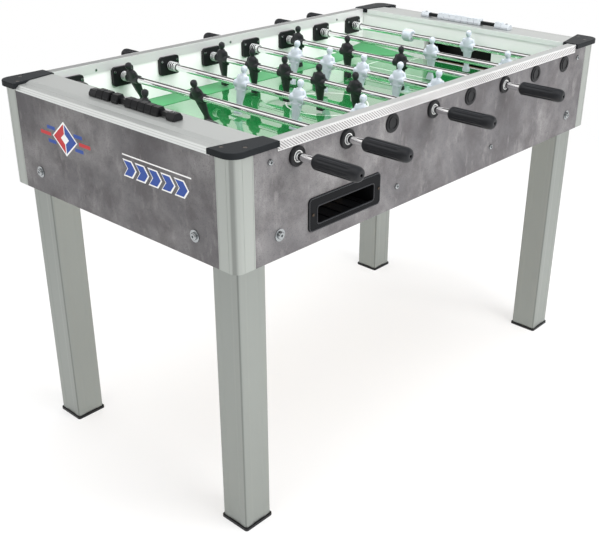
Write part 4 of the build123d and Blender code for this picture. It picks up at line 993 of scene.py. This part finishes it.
def add_part(whole, part, number, base_y, inward):
    """Stand a part on the plane y = base_y round a rod, and add it to the whole."""
    rod_x, rod_z = rod_line(f"rod_{number}_tube")
    place = Matrix.Translation((rod_x, base_y, rod_z)) @ Matrix.Scale(inward, 4, (0, 1, 0))
    bmesh.ops.transform(part, matrix=place, verts=part.verts)
    mesh = bpy.data.meshes.new("part")
    part.to_mesh(mesh)
    part.free()
    whole.from_mesh(mesh)
    bpy.data.meshes.remove(mesh)


pressed_rods = (2, 4, 6)
free_length = 28.2 * mm
pressed_length = 16.2 * mm
guide_start = 9.9 * mm
guide_outline = [(8.4, 0.0), (9.0, 0.0), (9.0, 14.6), (8.7, 15.0), (8.4, 15.0)]
coils_low, coils_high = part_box("springs")
blocks_low, blocks_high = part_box("bumper_blocks")
coils_shape = bmesh.new()
guides_shape = bmesh.new()
for number in rod_numbers:
    pressed = number in pressed_rods
    far_coil = coil(pressed_length, 3) if pressed else coil(free_length, 4)
    add_part(coils_shape, far_coil, number, coils_high.y, -1)
    add_part(coils_shape, coil(free_length, 4), number, coils_low.y, 1)
    for face_y, inward in ((blocks_high.y, -1), (blocks_low.y, 1)):
        guide = turned_shape(guide_outline, 32)
        add_part(guides_shape, guide, number, face_y + inward * guide_start, inward)
spring_wire = plated_steel("spring_wire", (0.90, 0.91, 0.92), 0.30, metal=0.25)
coils = smooth_mesh(bare_mesh("spring_coils", coils_shape), spring_wire)
guides = smooth_mesh(bare_mesh("spring_guides", guides_shape), part_black)
place_piece("spring_coils", coils, "table", ["springs"])
place_piece("spring_guides", guides, "table")


# Floor, lamps and camera. A pale studio floor that keeps the table's soft shadow, with broad lamps
# overhead, at the right and at the left.
def studio_floor():
    """Seen straight or in a mirror, the floor glows to the white of the backdrop."""
    near_edge, far_edge = 0.9, 2.6
    near_glow, far_glow = 0.62, 1.0
    finish = Finish("studio_floor", Roughness=0.9, Specular_IOR_Level=0.1)
    spot = finish.split(finish.place)
    fade = finish.add("ShaderNodeMapRange")
    finish.set(fade, Value=finish.distance(spot[0], spot[1]))
    finish.set(fade, From_Min=near_edge, From_Max=far_edge, To_Min=near_glow, To_Max=far_glow)
    fine = finish.noise(80.0, 3.0, 0.5)
    pale = finish.mix(finish.range(fine, 0.0, 1.0), (0.9, 0.9, 0.9), (0.88, 0.88, 0.88))
    finish.set(finish.shader, Base_Color=pale)
    rays = finish.add("ShaderNodeLightPath").outputs
    seen = finish.math("MAXIMUM", rays["Is Camera Ray"], rays["Is Glossy Ray"])
    seen = finish.math("MAXIMUM", seen, rays["Is Transmission Ray"])
    blend = finish.add("ShaderNodeMixShader")
    finish.feed(blend, 0, finish.product(seen, fade.outputs[0]))
    finish.tree.links.new(finish.shader.outputs[0], blend.inputs[1])
    finish.tree.links.new(finish.add("ShaderNodeEmission").outputs[0], blend.inputs[2])
    finish.tree.links.new(blend.outputs[0], finish.tree.nodes["Material Output"].inputs[0])
    return finish.material


floor_shape = bmesh.new()
bmesh.ops.create_circle(floor_shape, cap_ends=True, segments=96, radius=14.0)
floor_mesh = bare_mesh("floor", floor_shape)
floor_mesh.materials.append(studio_floor())
floor = add_object("floor", floor_mesh)


def studio_lamp(name, place, size, power, aim):
    """A broad lamp; mirror-like parts see the world's even bands instead of its outline."""
    light = bpy.data.lights.new(name, "AREA")
    light.shape = "RECTANGLE"
    light.size, light.size_y = size
    light.energy = power
    lamp = add_object(name, light)
    lamp.location = place
    lamp.rotation_euler = (Vector(aim) - Vector(place)).to_track_quat("-Z", "Y").to_euler()
    lamp.visible_glossy = False


studio_lamp("overhead_lamp", (0.15, 0.1, 3.4), size=(3.6, 2.4), power=138.0, aim=(0.0, 0.0, 0.8))
studio_lamp("right_lamp", (0.4, -3.4, 2.2), size=(2.6, 1.8), power=120.0, aim=(0.2, 0.0, 0.7))
studio_lamp("left_lamp", (-3.4, -0.4, 2.0), size=(2.0, 1.6), power=24.0, aim=(0.2, 0.0, 0.8))

world = bpy.data.worlds.new("studio")
bpy.context.scene.world = world
world.use_nodes = True
sky = world.node_tree


def sky_node(kind, *feeds, **settings):
    node = sky.nodes.new(kind)
    for key, value in settings.items():
        setattr(node, key, value)
    for index, value in enumerate(feeds):
        if isinstance(value, bpy.types.NodeSocket):
            sky.links.new(value, node.inputs[index])
        else:
            node.inputs[index].default_value = value
    return node


# Polished metal sees a light horizon beyond the far end, a dark gap, a broad bright ceiling and a
# dark wall beyond the near end. A band's place is the angle round the rods in half turns, from 0
# at the far end to 1 at the near end.
band_levels = (
    (0.0, 0.88),
    (0.180, 0.85),
    (0.215, 0.04),
    (0.48, 0.03),
    (0.53, 1.0),
    (0.80, 1.0),
    (0.85, 0.05),
    (1.0, 0.04),
)
white = (1.0, 1.0, 1.0, 1.0)
room_light = 0.50
towards = sky_node("ShaderNodeTexCoord").outputs["Generated"]
parts = sky_node("ShaderNodeSeparateXYZ", towards).outputs
around = sky_node("ShaderNodeMath", parts[2], parts[0], operation="ARCTAN2")
half_turns = sky_node("ShaderNodeMath", around.outputs[0], 1 / pi, operation="MULTIPLY")
bands = sky_node("ShaderNodeValToRGB", half_turns.outputs[0])
fill_ramp(bands.color_ramp, [(at, tinted((1.0, 0.985, 0.975), level)) for at, level in band_levels])
even = sky_node("ShaderNodeBackground", white, room_light)
bright = sky_node("ShaderNodeBackground", white, 1.0)
mirrored = sky_node("ShaderNodeBackground", bands.outputs[0], 1.0)
rays = sky_node("ShaderNodeLightPath").outputs
straight = (rays["Is Camera Ray"], rays["Is Transmission Ray"])
clear = sky_node("ShaderNodeMath", *straight, operation="MAXIMUM")
lit = (even.outputs[0], mirrored.outputs[0])
dim = sky_node("ShaderNodeMixShader", rays["Is Glossy Ray"], *lit)
choice = sky_node("ShaderNodeMixShader", clear.outputs[0], dim.outputs[0], bright.outputs[0])
sky.links.new(choice.outputs[0], sky.nodes["World Output"].inputs[0])

# The camera stands off the corner between the near end and the tray side, half a metre above the
# rails, and looks down across the field
down_angle = radians(26.2)
aside_angle = radians(-48.3)
roll_angle = 0.0105
camera_data = bpy.data.cameras.new("camera")
camera_data.sensor_width = 36.0
camera_data.lens = 55.81
camera_data.shift_x = -0.0396
camera_data.shift_y = 0.0122
camera_data.clip_start = 0.05
camera_data.clip_end = 40.0
camera = add_object("camera", camera_data)
camera.location = (-1.7405, -1.5437, 1.4255)
aim = Euler((pi / 2 - down_angle, 0.0, aside_angle)).to_matrix()
camera.rotation_euler = (aim @ Matrix.Rotation(roll_angle, 3, "Z")).to_euler()
bpy.context.scene.camera = camera
bpy.context.scene.view_settings.view_transform = "Standard"
